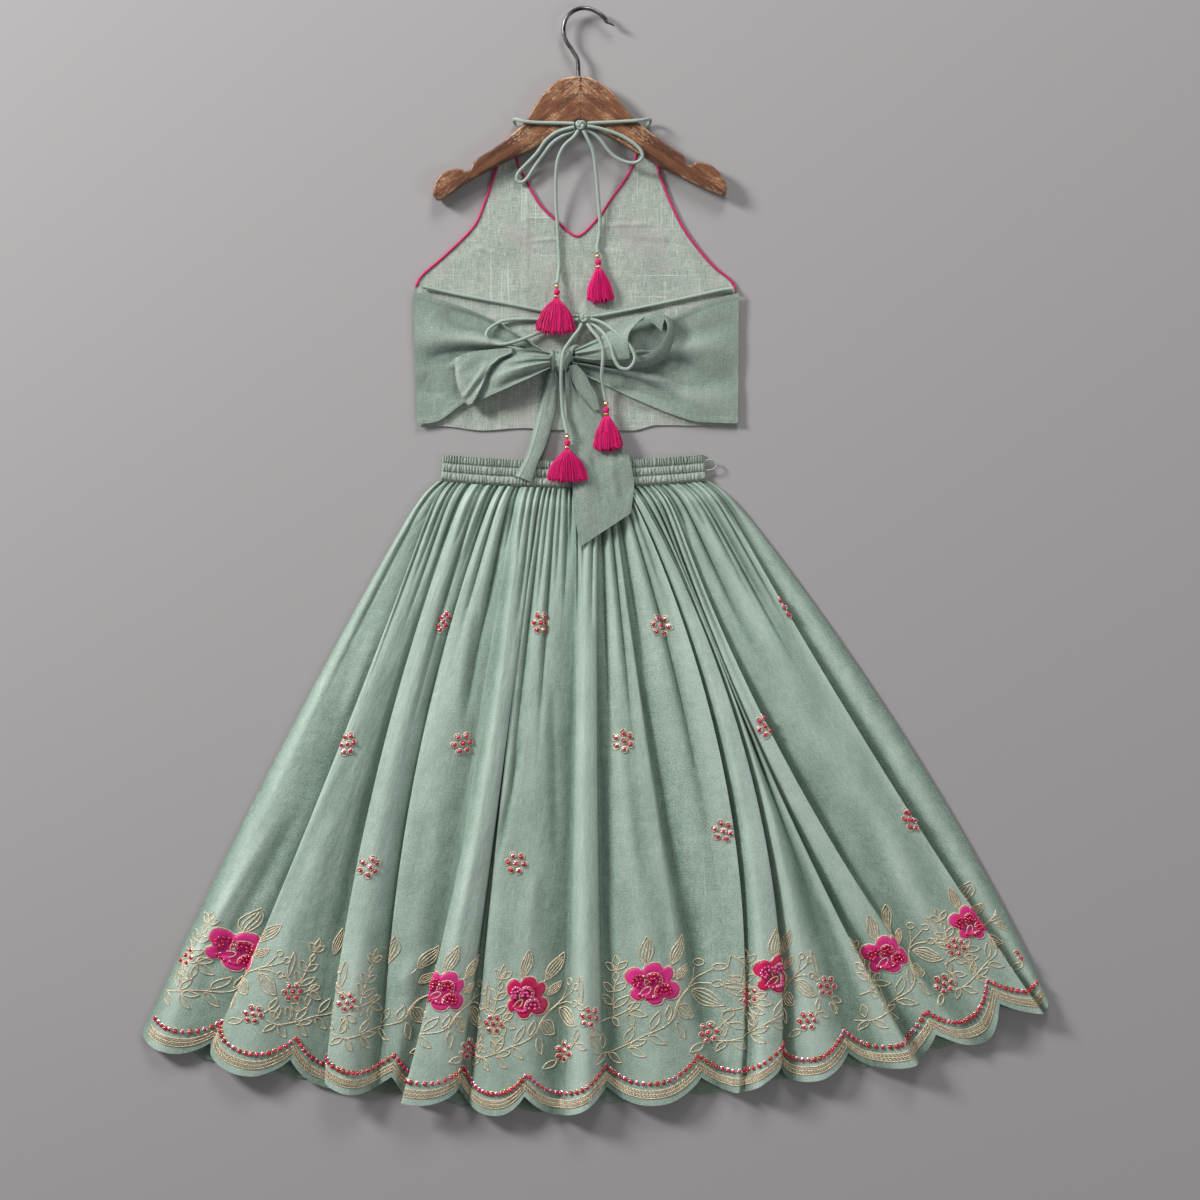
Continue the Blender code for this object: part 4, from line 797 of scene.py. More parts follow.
def joined(patches: Sequence[Patch]) -> Patch:
    """One patch from several."""
    starts = np.cumsum([0] + [len(patch.points) for patch in patches])
    faces = [group + start for patch, start in zip(patches, starts) for group in patch.faces]
    return Patch(np.concatenate([p.points for p in patches]), faces, np.concatenate([p.uv for p in patches]),
                 np.concatenate([p.tone for p in patches]), [s for p in patches for s in p.slots])


def grid_quads(rows: int, columns: int, start: int = 0, wrap: bool = False) -> Array:
    """Quads of a grid of rows by columns whose first vertex is start; wrap joins the last column to the first."""
    corner = np.arange(rows * columns).reshape(rows, columns) + start
    right = np.roll(corner, -1, axis=1) if wrap else corner[:, 1:]
    left = corner if wrap else corner[:, :-1]
    return np.stack((left[:-1], right[:-1], right[1:], left[1:]), axis=-1).reshape(-1, 4)


def grid_normals(points: Array) -> Array:
    """Upward normals of a grid of points: cross product of its two directions."""
    across, down = np.gradient(points, axis=1), np.gradient(points, axis=0)
    normals = unit(np.cross(across, down))
    return normals * np.sign(normals[..., 2].mean())


def hollows(points: Array, reach: float = 11.0, depth: float = 7.0) -> Array:
    """Tone of each place of a grid: 0.5 on even cloth, less in its hollows and more on its ridges, for painted shade
    in the hollows and painted light on the ridges.
    """
    level = points[..., 2]
    for axis in (0, 1):
        step = float(np.median(np.linalg.norm(np.diff(points, axis=axis), axis=2)))
        half = min(max(1, round(reach / step)), points.shape[axis] // 2 - 1)
        padded = np.pad(level, [(half, half) if axis == way else (0, 0) for way in (0, 1)], mode="edge")
        level = np.lib.stride_tricks.sliding_window_view(padded, 2 * half + 1, axis=axis).mean(axis=-1)
    return np.clip(0.5 + (points[..., 2] - level) / depth, 0.0, 1.0)


def cloth_shell(points: Array, uv: Array, thickness: float, slots: tuple[int, int] = (0, 0),
                reach: float = 11.0) -> Patch:
    """Thin closed shell under a grid of points: the inner side is the outer one moved along its normals.

    Args:
        points: rows by columns by 3, both counts odd.
        uv: rows by columns by 2, in metres.
        thickness: of the cloth.
        slots: material of the outer side with the rim, and of the inner side.
        reach: how far round a place its hollows are judged for their painted shade and light.

    Returns:
        The shell; the inner side has every second row and column.
    """
    inner = (points - grid_normals(points) * thickness)[::2, ::2]
    rows, columns = points.shape[:2]
    small_rows, small_columns = inner.shape[:2]
    outer_index = np.arange(rows * columns).reshape(rows, columns)
    inner_index = np.arange(small_rows * small_columns).reshape(small_rows, small_columns) + rows * columns

    def rim(index: Array) -> Array:
        """Vertices round the edge of a grid, in order."""
        return np.concatenate((index[0, :-1], index[:-1, -1], index[-1, :0:-1], index[:0:-1, 0]))

    outside, inside = rim(outer_index), rim(inner_index)
    starts = np.arange(0, len(outside), 2)
    edge = np.stack((outside[starts], inside, np.roll(inside, -1), outside[(starts + 2) % len(outside)],
                     outside[starts + 1]), axis=1)
    faces = [grid_quads(rows, columns), grid_quads(small_rows, small_columns, rows * columns)[:, ::-1], edge]
    flat_uv = np.concatenate((uv.reshape(-1, 2), uv[::2, ::2].reshape(-1, 2)))
    everything = np.concatenate((points.reshape(-1, 3), inner.reshape(-1, 3)))
    # Painted shade in the hollows and painted light on the ridges, carried as the mesh's tone.
    tone = hollows(points, reach)
    return Patch(everything, faces, flat_uv, np.concatenate((tone.ravel(), tone[::2, ::2].ravel())),
                 [slots[0], slots[1], slots[0]]).outward()


def sweep(path: Array, radius: float | Array, sides: int, flat: float = 1.0, tone: float = 0.5,
          up: Array | None = None) -> Patch:
    """Round or flattened bar along a path with closed ends: circles across its direction.

    Args:
        path: stations by 3.
        radius: one number or one for each station.
        sides: of each circle.
        flat: height over width.
        tone: of the whole bar.
        up: direction of each station's top, or None for a steady frame.

    Returns:
        The closed bar.
    """
    along = unit(np.gradient(path, axis=0))
    if up is None:
        up = np.broadcast_to((0.0, 0.0, 1.0), path.shape) + 0.25 * unit(path - path.mean(axis=0))
    side = unit(np.cross(along, up))
    top = np.cross(side, along)
    angles = np.linspace(0.0, math.tau, sides, endpoint=False)
    reach = np.broadcast_to(np.asarray(radius, dtype=float), (len(path),))[:, None, None]
    ring = (side[:, None] * np.cos(angles)[None, :, None]
            + top[:, None] * (flat * np.sin(angles))[None, :, None]) * reach
    points = (path[:, None] + ring).reshape(-1, 3)
    around = angles * float(np.mean(reach)) * MM
    uv = np.stack(np.meshgrid(around, travelled(path) * MM), axis=-1).reshape(-1, 2)
    first = np.arange(sides)[None, ::-1]
    last = np.arange(sides)[None] + (len(path) - 1) * sides
    faces = [grid_quads(len(path), sides, 0, True), first, last]
    return Patch(points, faces, uv, np.full(len(points), tone)).outward()


def facing_up(patch: Patch, sample: slice = slice(None)) -> Patch:
    """The same open patch with its quads turned up, judged by a sample of them."""
    corner, right, _, below = np.moveaxis(patch.points[patch.faces[0][sample]], 1, 0)
    if np.cross(right - corner, below - corner)[:, 2].mean() < 0.0:
        patch.faces = [patch.faces[0][:, ::-1]]
    return patch


def make_object(name: str, patch: Patch, finishes: Sequence[Finish], crisp: float = 60.0) -> bpy.types.Object:
    """Mesh object at the origin from a patch, with smooth shading, UV map, tone and materials.

    Args:
        name: of the piece.
        patch: points in millimetres and faces.
        finishes: one for each material slot of the patch.
        crisp: angle in degrees past which an edge stays sharp.

    Returns:
        The object.
    """
    mesh = bpy.data.meshes.new(name)
    corners = np.concatenate([group.ravel() for group in patch.faces]).astype(np.int32)
    sizes = np.concatenate([np.full(len(group), group.shape[1]) for group in patch.faces])
    slots = np.concatenate([np.full(len(g), s) for g, s in zip(patch.faces, patch.slots)]).astype(np.int32)
    mesh.vertices.add(len(patch.points))
    mesh.vertices.foreach_set("co", (patch.points * MM).astype(np.float32).ravel())
    mesh.loops.add(len(corners))
    mesh.loops.foreach_set("vertex_index", corners)
    mesh.polygons.add(len(sizes))
    mesh.polygons.foreach_set("loop_start", np.concatenate(([0], np.cumsum(sizes)[:-1])).astype(np.int32))
    mesh.update(calc_edges=True)
    mesh.polygons.foreach_set("material_index", slots)
    layer = mesh.uv_layers.new(name="UVMap")
    layer.uv.foreach_set("vector", patch.uv[corners].astype(np.float32).ravel())
    tones = mesh.attributes.new("tone", "FLOAT", "POINT")
    tones.data.foreach_set("value", patch.tone.astype(np.float32))
    for finish in finishes:
        mesh.materials.append(finish.material())
    mesh.shade_smooth()
    mesh.set_sharp_from_angle(angle=math.radians(crisp))
    mesh.update()
    made = bpy.data.objects.new(name, mesh)
    bpy.context.scene.collection.objects.link(made)
    return made


def fit(name: str, patch: Patch, finishes: Sequence[Finish], slot: str, *nodes: str,
        crisp: float = 60.0) -> bpy.types.Object:
    """Piece from a patch that rides on the object and stands for solids.

    Args:
        name: of the piece.
        patch: its shape.
        finishes: one for each material slot of the patch.
        slot: colour slot of the piece; not used.
        nodes: solids that it stands for, or none.
        crisp: angle in degrees past which an edge stays sharp.

    Returns:
        The piece.
    """
    piece = make_object(name, patch, finishes, crisp)
    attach(piece, "root")
    if nodes:
        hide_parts(*nodes)
    LOG.info("%s: %d faces, stands for %s", name, len(piece.data.polygons), ", ".join(nodes) or "nothing")
    return piece


def waist_line(x: Array) -> Array:
    """Lower edge of the waistband: a shallow sag between its two ends."""
    middle = 0.5 * (WAIST_LEFT + WAIST_RIGHT)
    half = 0.5 * (WAIST_RIGHT - WAIST_LEFT)
    return BAND_BOTTOM - BAND_SAG * (1.0 - ((x - middle) / half) ** 2)


def hem_line(x: Array) -> Array:
    """Line through the tops of the hem's scallops."""
    line_x, line_y = np.array(HEM_LINE).T
    return monotone(line_x, line_y, np.clip(x, line_x[0], line_x[-1]))


def scallop(cloth: Array) -> Array:
    """Depth of the hem's round scallops, 0 at each point between two and 1 at the lowest."""
    return 1.0 - np.abs(2.0 * (cloth % 1.0) - 1.0) ** 2.2


@dataclass
class PleatedSkirt:
    """Back panel of the skirt: folds that start as gathers at the band and spread to the scalloped hem."""

    columns: int = 560
    rows: int = 121
    floor: float = 3.0
    thickness: float = 0.7
    fullness: float = 2.6
    fold_height: float = 1.5
    lines: Array = field(default_factory=lambda: np.array(FOLD_LINES))
    stations: Array = field(init=False)
    points: Array = field(init=False)
    normals: Array = field(init=False)
    column_stations: Array = field(init=False)
    edge: Array = field(init=False)
    levels: Array = field(init=False)

    def __post_init__(self) -> None:
        """Space the fold lines by the cloth between them and work out the surface."""
        lines = self.lines
        steps = [np.hypot(np.diff(lines[:, x]), np.diff(lines[:, z])) for x, z in ((1, 5), (2, 6))]
        self.stations = np.concatenate(([0.0], np.cumsum(np.maximum(0.5 * (steps[0] + steps[1]), 3.0))))
        even = np.linspace(0.0, self.stations[-1], self.columns)
        points_between = np.interp(np.arange(1, 14), lines[:, 3], self.stations)
        self.column_stations = np.sort(np.concatenate((even, points_between)))
        if len(self.column_stations) % 2 == 0:
            self.column_stations = np.delete(self.column_stations, 1)
        share = shares(self.rows)
        self.levels = 0.55 * share + 0.45 * share ** 2.0
        self.build_surface()

    def line_x(self, line: Array, down: Array) -> Array:
        """x of a fold line: a quadratic through its three places with a quick puff near the waist."""
        waist, middle, hem = self.lines[:, 0][line], self.lines[:, 1][line], self.lines[:, 2][line]
        mid_y = (BAND_BOTTOM - MID_HEIGHT) / (BAND_BOTTOM - hem_line(self.lines[:, 2]))
        mid = mid_y[line]
        reach = hem - waist
        puff = SIDE_PUFF * (1.0 - np.exp(-down / PUFF_REACH)) * (1.0 - down)
        mid_puff = SIDE_PUFF * (1.0 - mid)
        bend = ((middle - waist - reach * mid_puff) / mid - reach) / (mid - 1.0)
        return waist + reach * puff + (reach - bend) * down + bend * down ** 2

    def line_z(self, line: Array, down: Array) -> Array:
        """Height of a fold line over the lowest cloth, eased between its three levels."""
        near, middle, hem = (self.lines[:, k][line] for k in (4, 5, 6))
        middle, hem = self.fold_height * middle, self.fold_height * hem
        return (near * ease(down, -0.025, 0.035) + (middle - near) * ease(down, 0.10, 0.5)
                + (hem - middle) * ease(down, 0.5, 1.0))

    def line_cloth(self, line: Array, down: Array) -> Array:
        """Cloth position of a fold line in scallops: evenly gathered at the waist."""
        waist, hem = self.lines[:, 0][line], self.lines[:, 3][line]
        first, last = self.lines[0, 3], self.lines[-1, 3]
        even = first + (last - first) * (waist - WAIST_LEFT) / (WAIST_RIGHT - WAIST_LEFT)
        return even + (hem - even) * np.minimum(down, 1.0)

    def across(self, station: Array, down: Array, read: Callable[[Array, Array], Array]) -> Array:
        """Value between the fold lines: a cubic that keeps crests and fold edges where they are."""
        last = len(self.stations) - 1
        cell = np.clip(np.searchsorted(self.stations, station, side="right") - 1, 0, last - 1)
        width = self.stations[cell + 1] - self.stations[cell]
        before, after = np.maximum(cell - 1, 0), np.minimum(cell + 2, last)
        start, end = read(cell, down), read(cell + 1, down)
        slope = (end - start) / width
        ahead = np.where(before < cell, (start - read(before, down))
                         / np.maximum(self.stations[cell] - self.stations[before], 1e-6), slope)
        behind = np.where(after > cell + 1, (read(after, down) - end)
                          / np.maximum(self.stations[after] - self.stations[cell + 1], 1e-6), slope)
        return hermite((station - self.stations[cell]) / width, start, end,
                       harmonic(ahead, slope) * width, harmonic(slope, behind) * width)

    def relief(self, x: Array, y: Array, down: Array, waist_x: Array) -> Array:
        """Creases that run with the folds, gathers, soft troughs and slight unevenness, in millimetres."""
        total = 1.35 * soft_lines(x, y, SOFT_TROUGHS)
        spread = 1.0 + 2.3 * down
        for start, reach, depth, half in CREASES:
            share = np.clip(down / reach, 0.0, 1.3)
            aside = (waist_x - start) * spread / (half * (1.0 + 1.1 * share))
            near = np.exp(-np.abs(aside) * np.where(aside < 0.0, 1.7, 0.75))
            total -= depth * near * (1.0 - ease(share, 0.3, 1.05))
        phase = waist_x / 6.1 + 1.4 * drift(waist_x / 17.0, 6.0 * down, 6)
        total += 2.4 * (np.abs(np.sin(math.pi * phase)) ** 0.6 - 0.6) * np.exp(-down / 0.05)
        total += 0.6 * drift(x / 26.0, y / 60.0, 3) + 0.25 * drift(x / 9.0, y / 26.0, 4)
        return total

    def build_surface(self) -> None:
        """Grid of points and normals: rows run from the waist to the scalloped edge."""
        hem_cloth = np.interp(self.column_stations, self.stations, self.lines[:, 3])
        ones = np.ones_like(self.column_stations)
        hem_x = self.across(self.column_stations, ones, self.line_x)
        drop = BAND_BOTTOM - hem_line(hem_x)
        self.edge = 1.0 + SCALLOP_DEPTH * scallop(hem_cloth) / drop
        station = np.broadcast_to(self.column_stations, (self.rows, len(ones)))
        down = self.levels[:, None] * self.edge[None, :]
        x = self.across(station, down, self.line_x)
        start_x = self.across(self.column_stations, 0.0 * ones, self.line_x)
        start_y = waist_line(start_x) - SEAM
        y = start_y + (hem_line(hem_x) - start_y) * down
        z = self.across(station, down, self.line_z)
        full = self.fullness * (0.7 + 0.3 * ease(down, 0.0, 0.03)) * np.exp(-down / 0.5)
        side = ease(station, 0.0, 9.0) * ease(self.stations[-1] - station, 0.0, 9.0)
        z = self.floor + z + (full + self.relief(x, y, down, np.broadcast_to(start_x, x.shape))) * side
        z = np.maximum(z, self.floor - 0.3 + 0.2 * drift(x / 6.0, y / 14.0, 5))
        self.points = np.stack((x, y, z), axis=2)
        self.normals = grid_normals(self.points)

    def find(self, cloth: Array, height: Array) -> tuple[Array, Array]:
        """Point and normal on the cloth.

        Args:
            cloth: position along the hem in scallops.
            height: millimetres above the line through the scallops' tops.

        Returns:
            Points and normals, each an array of places by 3.
        """
        hem_x = np.interp(cloth, self.lines[:, 3], self.lines[:, 2])
        down = 1.0 - height / (BAND_BOTTOM - hem_line(hem_x))
        table = self.line_cloth(np.arange(len(self.lines))[None, :], down[:, None])
        cell = np.clip((table <= cloth[:, None]).sum(axis=1) - 1, 0, len(self.lines) - 2)
        pick = np.arange(len(cloth))
        share = (cloth - table[pick, cell]) / (table[pick, cell + 1] - table[pick, cell])
        station = self.stations[cell] + share * (self.stations[cell + 1] - self.stations[cell])
        station = np.clip(station, 0.0, self.stations[-1])
        column = np.clip(np.searchsorted(self.column_stations, station) - 1, 0, len(self.column_stations) - 2)
        gap = self.column_stations[column + 1] - self.column_stations[column]
        right = np.where(gap > 1e-6, (station - self.column_stations[column]) / np.maximum(gap, 1e-6), 0.0)
        edge = self.edge[column] * (1.0 - right) + self.edge[column + 1] * right
        level = np.clip(down / edge, 0.0, 1.0)
        row = np.clip(np.searchsorted(self.levels, level) - 1, 0, self.rows - 2)
        below = (level - self.levels[row]) / (self.levels[row + 1] - self.levels[row])
        right, below = right[:, None], below[:, None]

        def read(grid: Array) -> Array:
            """Bilinear value of a grid of vectors."""
            top = grid[row, column] * (1.0 - right) + grid[row, column + 1] * right
            return top * (1.0 - below) + (grid[row + 1, column] * (1.0 - right)
                                          + grid[row + 1, column + 1] * right) * below

        return read(self.points), unit(read(self.normals))

    def build(self, work: Sequence[bpy.types.Object]) -> bpy.types.Object:
        """Closed shell of the panel, with its cloth place as UV map.

        Args:
            work: the pieces stitched to it; not used.

        Returns:
            The panel.
        """
        cloth = self.across(np.broadcast_to(self.column_stations, self.points.shape[:2]),
                            self.levels[:, None] * self.edge[None, :], self.line_cloth)
        drop = self.levels[:, None] * self.edge[None, :] * 590.0
        uv = np.stack((cloth * SCALLOP_PITCH, drop), axis=2) * MM
        patch = cloth_shell(self.points, uv, self.thickness, (0, 1), 20.0)
        piece = fit("skirt_back_folds", patch, (SAGE, INNER), "sage_cloth", "skirt_back")
        return piece


# One unit of the border in millimetres: along the hem from the middle of a rose, and above the scallops' tops.
UNITS = (
    # middle of the rose in scallops, colour of its petals or none, scale of the heights
    (-0.65, "", 0.9), (0.79, "pink", 0.88), (2.25, "", 0.92), (3.85, "", 0.95), (5.45, "pink", 0.94),
    (6.83, "crimson", 1), (8.58, "pink", 1), (9.9, "crimson", 0.92), (11.88, "pink", 0.8), (13.2, "pink", 0.74))
# No thread and no bead is worked past these places along the hem, in scallops.
THREAD_ENDS = (0.26, 13.74)
BEAD_ENDS = (0.27, 13.73)
# Lines of the stitched band and the bead chain, in millimetres over the hem's edge.
BAND_LINES = (7.6, 11.4, 15.2)
BAND_ZIGZAGS = ((8.2, 10.9), (12, 14.7))
CHAIN_LINE = 22.5
# Tissue under the stitched band: place over the hem's edge, and height over the cloth.
TISSUE = ((7.8, -0.2), (8.6, 0.25), (11.4, 0.3), (14.2, 0.25), (15, -0.2))
TISSUE_COLUMNS = 1201
ROSE_HEIGHT = 101.0
ROSE_SAMPLES = 105
# Rings of a rose's satin: share of the way out, height over the cloth and tone.
ROSE_RINGS = ((0.02, 0.3, 0.05), (0.3, 0.3, 0.1), (0.55, 0.35, 0.2), (0.62, 0.6, 0.5), (0.7, 0.95, 0.75),
              (0.85, 1.0, 0.85), (0.96, 0.7, 0.7), (1.0, -0.3, 0.5))
# Petal lines of the rose: middle and radius.
PETAL_LINES = ((-11, 5, 7.6), (1.5, 3.6, 8.6), (10, -9, 8.8))
ROSE_OUTLINE = (
    (-22, 4), (-23.5, 11.5), (-18.5, 18), (-11.5, 18.6), (-7.8, 15), (-4, 20.4), (4, 22), (10.5, 19.4),
    (11.6, 14.8), (17.4, 16.4), (21.6, 11), (20.6, 4.6), (17, 1.6), (23.4, -1.6), (26, -9), (22, -16.4),
    (14.6, -17.4), (10.2, -14.8), (7, -20.4), (-1, -21.4), (-6.6, -17), (-8.4, -13.2), (-14.6, -15.4), (-19.6, -11),
    (-19.2, -4.6), (-16.2, -1.2))
ROSE_MIDDLE = (-1.0, -1.0)
# Bead arcs of the rose: middle, radius, first and last angle, number of beads.
ROSE_ARCS = (
    (-11, 5, 5.6, 40, 250, 7), (-10.5, 4.6, 2.4, 60, 250, 3), (1.5, 3.6, 6.6, -20, 170, 7),
    (1, 3, 3.1, -10, 190, 4), (10, -9, 6.8, -10, 190, 8), (10, -9.4, 3.2, -30, 200, 4), (-2, 1, 14.6, 226, 292, 6))
# Leaves: base, tip, width, and whether it is veined.
LEAVES = (
    ((-4, 121), (-1, 151), 12.5, True), ((21, 119), (39, 146), 13, True), ((24.5, 103), (38, 116), 9, True),
    ((38, 88), (63, 69), 14, True), ((21, 76), (36, 62), 13, True), ((19, 60), (25, 42), 6.5, False), ((11, 62),
    (14, 78), 6, False), ((-5, 55), (4, 73), 7, False), ((-8, 49), (7, 39), 6.5, False), ((-28, 43), (-20, 59), 7,
    False), ((-26, 38), (-12, 28), 6.5, False), ((-24, 40), (-10, 45), 6, False), ((-45, 35), (-33, 23), 6.5,
    False), ((-48, 36), (-58, 25), 6, False), ((-50, 40), (-50, 56), 6, False), ((-24, 78), (-12, 84), 6.5, False),
    ((-22, 75), (-7, 70), 7, False), ((-23, 73), (-20, 60), 6.5, False), ((-38, 70), (-32, 61), 5.5, False),
    ((-36, 80), (-21, 92), 6.5, False), ((-36, 84), (-48, 95), 6.5, False), ((-34.5, 97), (-22, 106), 7, False),
    ((-34.5, 97), (-46, 107), 7, False), ((-32, 107), (-31, 117), 6, False), ((-31, 119), (-30, 134), 7, False),
    ((-31, 119), (-20, 127), 6.5, False), ((-31, 119), (-42, 127), 6.5, False), ((70, 92), (66, 120), 6.5, False),
    ((74, 86), (62, 90), 6, False), ((62, 52), (66, 66), 6, False), ((64, 50), (76, 44), 6, False), ((42, 34),
    (28, 27), 7, False), ((84, 62), (97, 56), 7, False), ((80, 58), (88, 44), 6, False))
STEMS = (
    ((20, 119), (16, 113)), ((-16, 86), (-22, 78), (-34, 72), (-50, 68)), ((34, 91), (26, 85), (20, 75), (16, 64),
    (6, 56), (-10, 50), (-28, 41), (-46, 35), (-60, 38)), ((35.5, 91.5), (27.5, 85.5), (21.5, 75), (17.5, 64)),
    ((34, 91), (42, 99), (47, 111)), ((38, 95), (50, 102), (57.5, 107)), ((36, 92), (46, 94), (56, 92.5)),
    ((-36, 72), (-36, 84), (-34.5, 97), (-32, 107)), ((-31, 117), (-31, 119)), ((64, 94), (72, 88), (80, 82)),
    ((58, 47), (62, 52), (64, 50)), ((80, 70), (84, 62), (90, 48)))
BERRIES = ((49.5, 115, 3.6), (61, 109, 3.6), (59.5, 92, 3.6))
# Bead flowers of the border, and the ones scattered over the skirt: cloth position in scallops and height.
UNIT_FLOWERS = ((49, 43), (81, 76))
SCATTERED = (
    (2.98, 460), (6.24, 483), (9.2, 462), (13.4, 392), (1.09, 310), (4.1, 345), (8.49, 352), (11.55, 320),
    (2.95, 208), (6.44, 238), (9.38, 248), (13.28, 178))


@dataclass
class Embroidery:
    """Stitched border and scattered flowers, worked on the cloth of the back panel in a layout of its own."""

    skirt: PleatedSkirt
    step: float = 2.3
    half_width: float = 0.70
    height: float = 0.65
    lines: list[Array] = field(default_factory=list)
    beads: dict[str, list[tuple[float, float, float]]] = field(default_factory=dict)
    chance: np.random.Generator = field(default_factory=lambda: np.random.default_rng(12))
    scale: float = 1.0

    def thread(self, start: float, points: Array) -> None:
        """Keep a line of thread, in even steps, as cloth position and height.

        Args:
            start: cloth position of the unit, in scallops.
            points: places in the unit.
        """
        line = np.asarray(points, dtype=float)
        even = resampled(line, max(2, round(path_length(line) / self.step) + 1))
        self.keep(np.stack((start + even[:, 0] / SCALLOP_PITCH, even[:, 1] * self.scale), axis=1))

    def keep(self, line: Array) -> None:
        """Keep the parts of a line that lie on the panel."""
        inside = (line[:, 0] > THREAD_ENDS[0]) & (line[:, 0] < THREAD_ENDS[1])
        runs = np.split(np.arange(len(line)), np.flatnonzero(np.diff(inside.astype(int))) + 1)
        self.lines += [line[run] for run in runs if inside[run[0]] and len(run) > 1]

    def bead(self, kind: str, cloth: float, height: float, size: float) -> None:
        """Keep a bead or ring of a kind if it lies on the panel."""
        if BEAD_ENDS[0] < cloth < BEAD_ENDS[1]:
            self.beads.setdefault(kind, []).append((cloth, height * self.scale, size))

    def leaf(self, start: float, base: tuple, tip: tuple, width: float, veined: bool) -> None:
        """Outline of a pointed leaf, with a midrib and two inner lines if it is veined."""
        base, tip = np.array(base), np.array(tip)
        way = tip - base
        aside = np.array((-way[1], way[0])) / np.linalg.norm(way)
        share = shares(15)
        swell = np.sin(math.pi * share) ** 0.85 * (1.15 - 0.3 * share)
        middle = base + share[:, None] * way + (0.06 * width * np.sin(math.tau * share))[:, None] * aside
        for scale in ((0.5, -0.5, 0.24, -0.24) if veined else (0.5, -0.5)):
            part = slice(2, 12) if abs(scale) < 0.4 else slice(0, 15)
            self.thread(start, (middle + (scale * width * swell)[:, None] * aside)[part])
        if veined:
            self.thread(start, middle[:13])

    def flower(self, cloth: float, height: float, size: float = 1.0) -> None:
        """Seven beads, each in a ring of gold thread, six of them round the middle one."""
        turn = self.chance.uniform(0.0, 60.0)
        level = np.full(2, height * self.scale)
        ends, _ = self.skirt.find(np.clip(cloth + np.array((-0.04, 0.04)), 0.2, 13.8), level)
        stretch = 0.08 * SCALLOP_PITCH / max(float(np.linalg.norm(ends[1] - ends[0])), 4.5)
        ring = np.linspace(0.0, math.tau, 11)
        for petal in range(7):
            angle = math.radians(turn + 60.0 * petal)
            cosine, sine = math.cos(angle) * stretch, math.sin(angle)
            reach, shift = (0.0, 0.0) if petal == 6 else (7.6 * size, 0.8)
            a, b = reach * cosine, height + reach * sine
            self.bead("crimson", cloth + a / SCALLOP_PITCH, b, 2.0 * size)
            self.thread(cloth, circle(a + shift * cosine, b + shift * sine, 3.3 * size, ring, stretch))
            if self.chance.uniform() < 0.55:
                self.bead("silver", cloth + a / SCALLOP_PITCH, b, 2.7 * size)

    def border(self) -> None:
        """Stitched band and bead chain that follow the scallops from end to end."""
        cloth = np.linspace(0.2, 13.8, 3401)
        edge = np.stack((cloth * SCALLOP_PITCH, -SCALLOP_DEPTH * scallop(cloth)), axis=1)
        length = path_length(edge)
        for offset in BAND_LINES:
            line = resampled(edge + (0.0, offset), np.arange(0.0, length, self.step))
            self.keep(line / (SCALLOP_PITCH, 1.0))
        for offsets in BAND_ZIGZAGS:
            stops = np.arange(0.0, length, 1.45)
            low, high = (resampled(edge + (0.0, offset), stops) for offset in offsets)
            self.keep(np.where(np.arange(len(stops))[:, None] % 2, high, low) / (SCALLOP_PITCH, 1.0))
        for a, b in resampled(edge + (0.0, CHAIN_LINE), np.arange(3.0, length, 5.7)).tolist():
            self.bead("crimson", a / SCALLOP_PITCH, b, 2.1)
            kind = "silver" if self.chance.uniform() < 0.3 else "ring"
            self.bead(kind, a / SCALLOP_PITCH, b, 2.9)

    def unit_work(self, start: float, petals: str) -> None:
        """Leaves, stems, berries and bead flowers, and a rose if its petals have a colour."""
        for base, tip, width, veined in LEAVES:
            self.leaf(start, base, tip, width, veined)
        for stem in STEMS:
            self.thread(start, smooth_curve(stem, 4 * len(stem)))
        turn = np.linspace(0.0, math.tau, 13)
        for a, b, reach in BERRIES:
            self.thread(start, circle(a, b, reach, turn))
        for a, b in UNIT_FLOWERS:
            self.flower(start + a / SCALLOP_PITCH, b)
        if not petals:
            return
        outline = smooth_curve(ROSE_OUTLINE + ROSE_OUTLINE[:1], ROSE_SAMPLES) + (0.0, ROSE_HEIGHT)
        self.thread(start, outline)
        self.thread(start, outline * (1.045, 1.0) + (0.0, 0.4))
        bud = np.stack((-6.5 + 6.2 * np.cos(turn) * 0.75 - 3.2 * np.sin(turn) * 0.66,
                        -6.5 + 6.2 * np.cos(turn) * 0.66 + 3.2 * np.sin(turn) * 0.75 + ROSE_HEIGHT), axis=1)
        self.thread(start, bud)
        kind = "pink" if petals == "crimson" else "crimson"
        for a, b, reach, first, last, count in ROSE_ARCS:
            for angle in np.radians(np.linspace(first, last, count)):
                place = (start + (a + reach * math.cos(angle)) / SCALLOP_PITCH,
                         ROSE_HEIGHT + b + reach * math.sin(angle))
                self.bead(kind, *place, 1.75)
                if reach > 5.0 and self.chance.uniform() < 0.35:
                    self.bead("silver", *place, 2.2)
        for a, b, reach in PETAL_LINES:
            self.thread(start, circle(a, ROSE_HEIGHT + b, reach, np.radians(np.linspace(-30.0, 210.0, 14))))

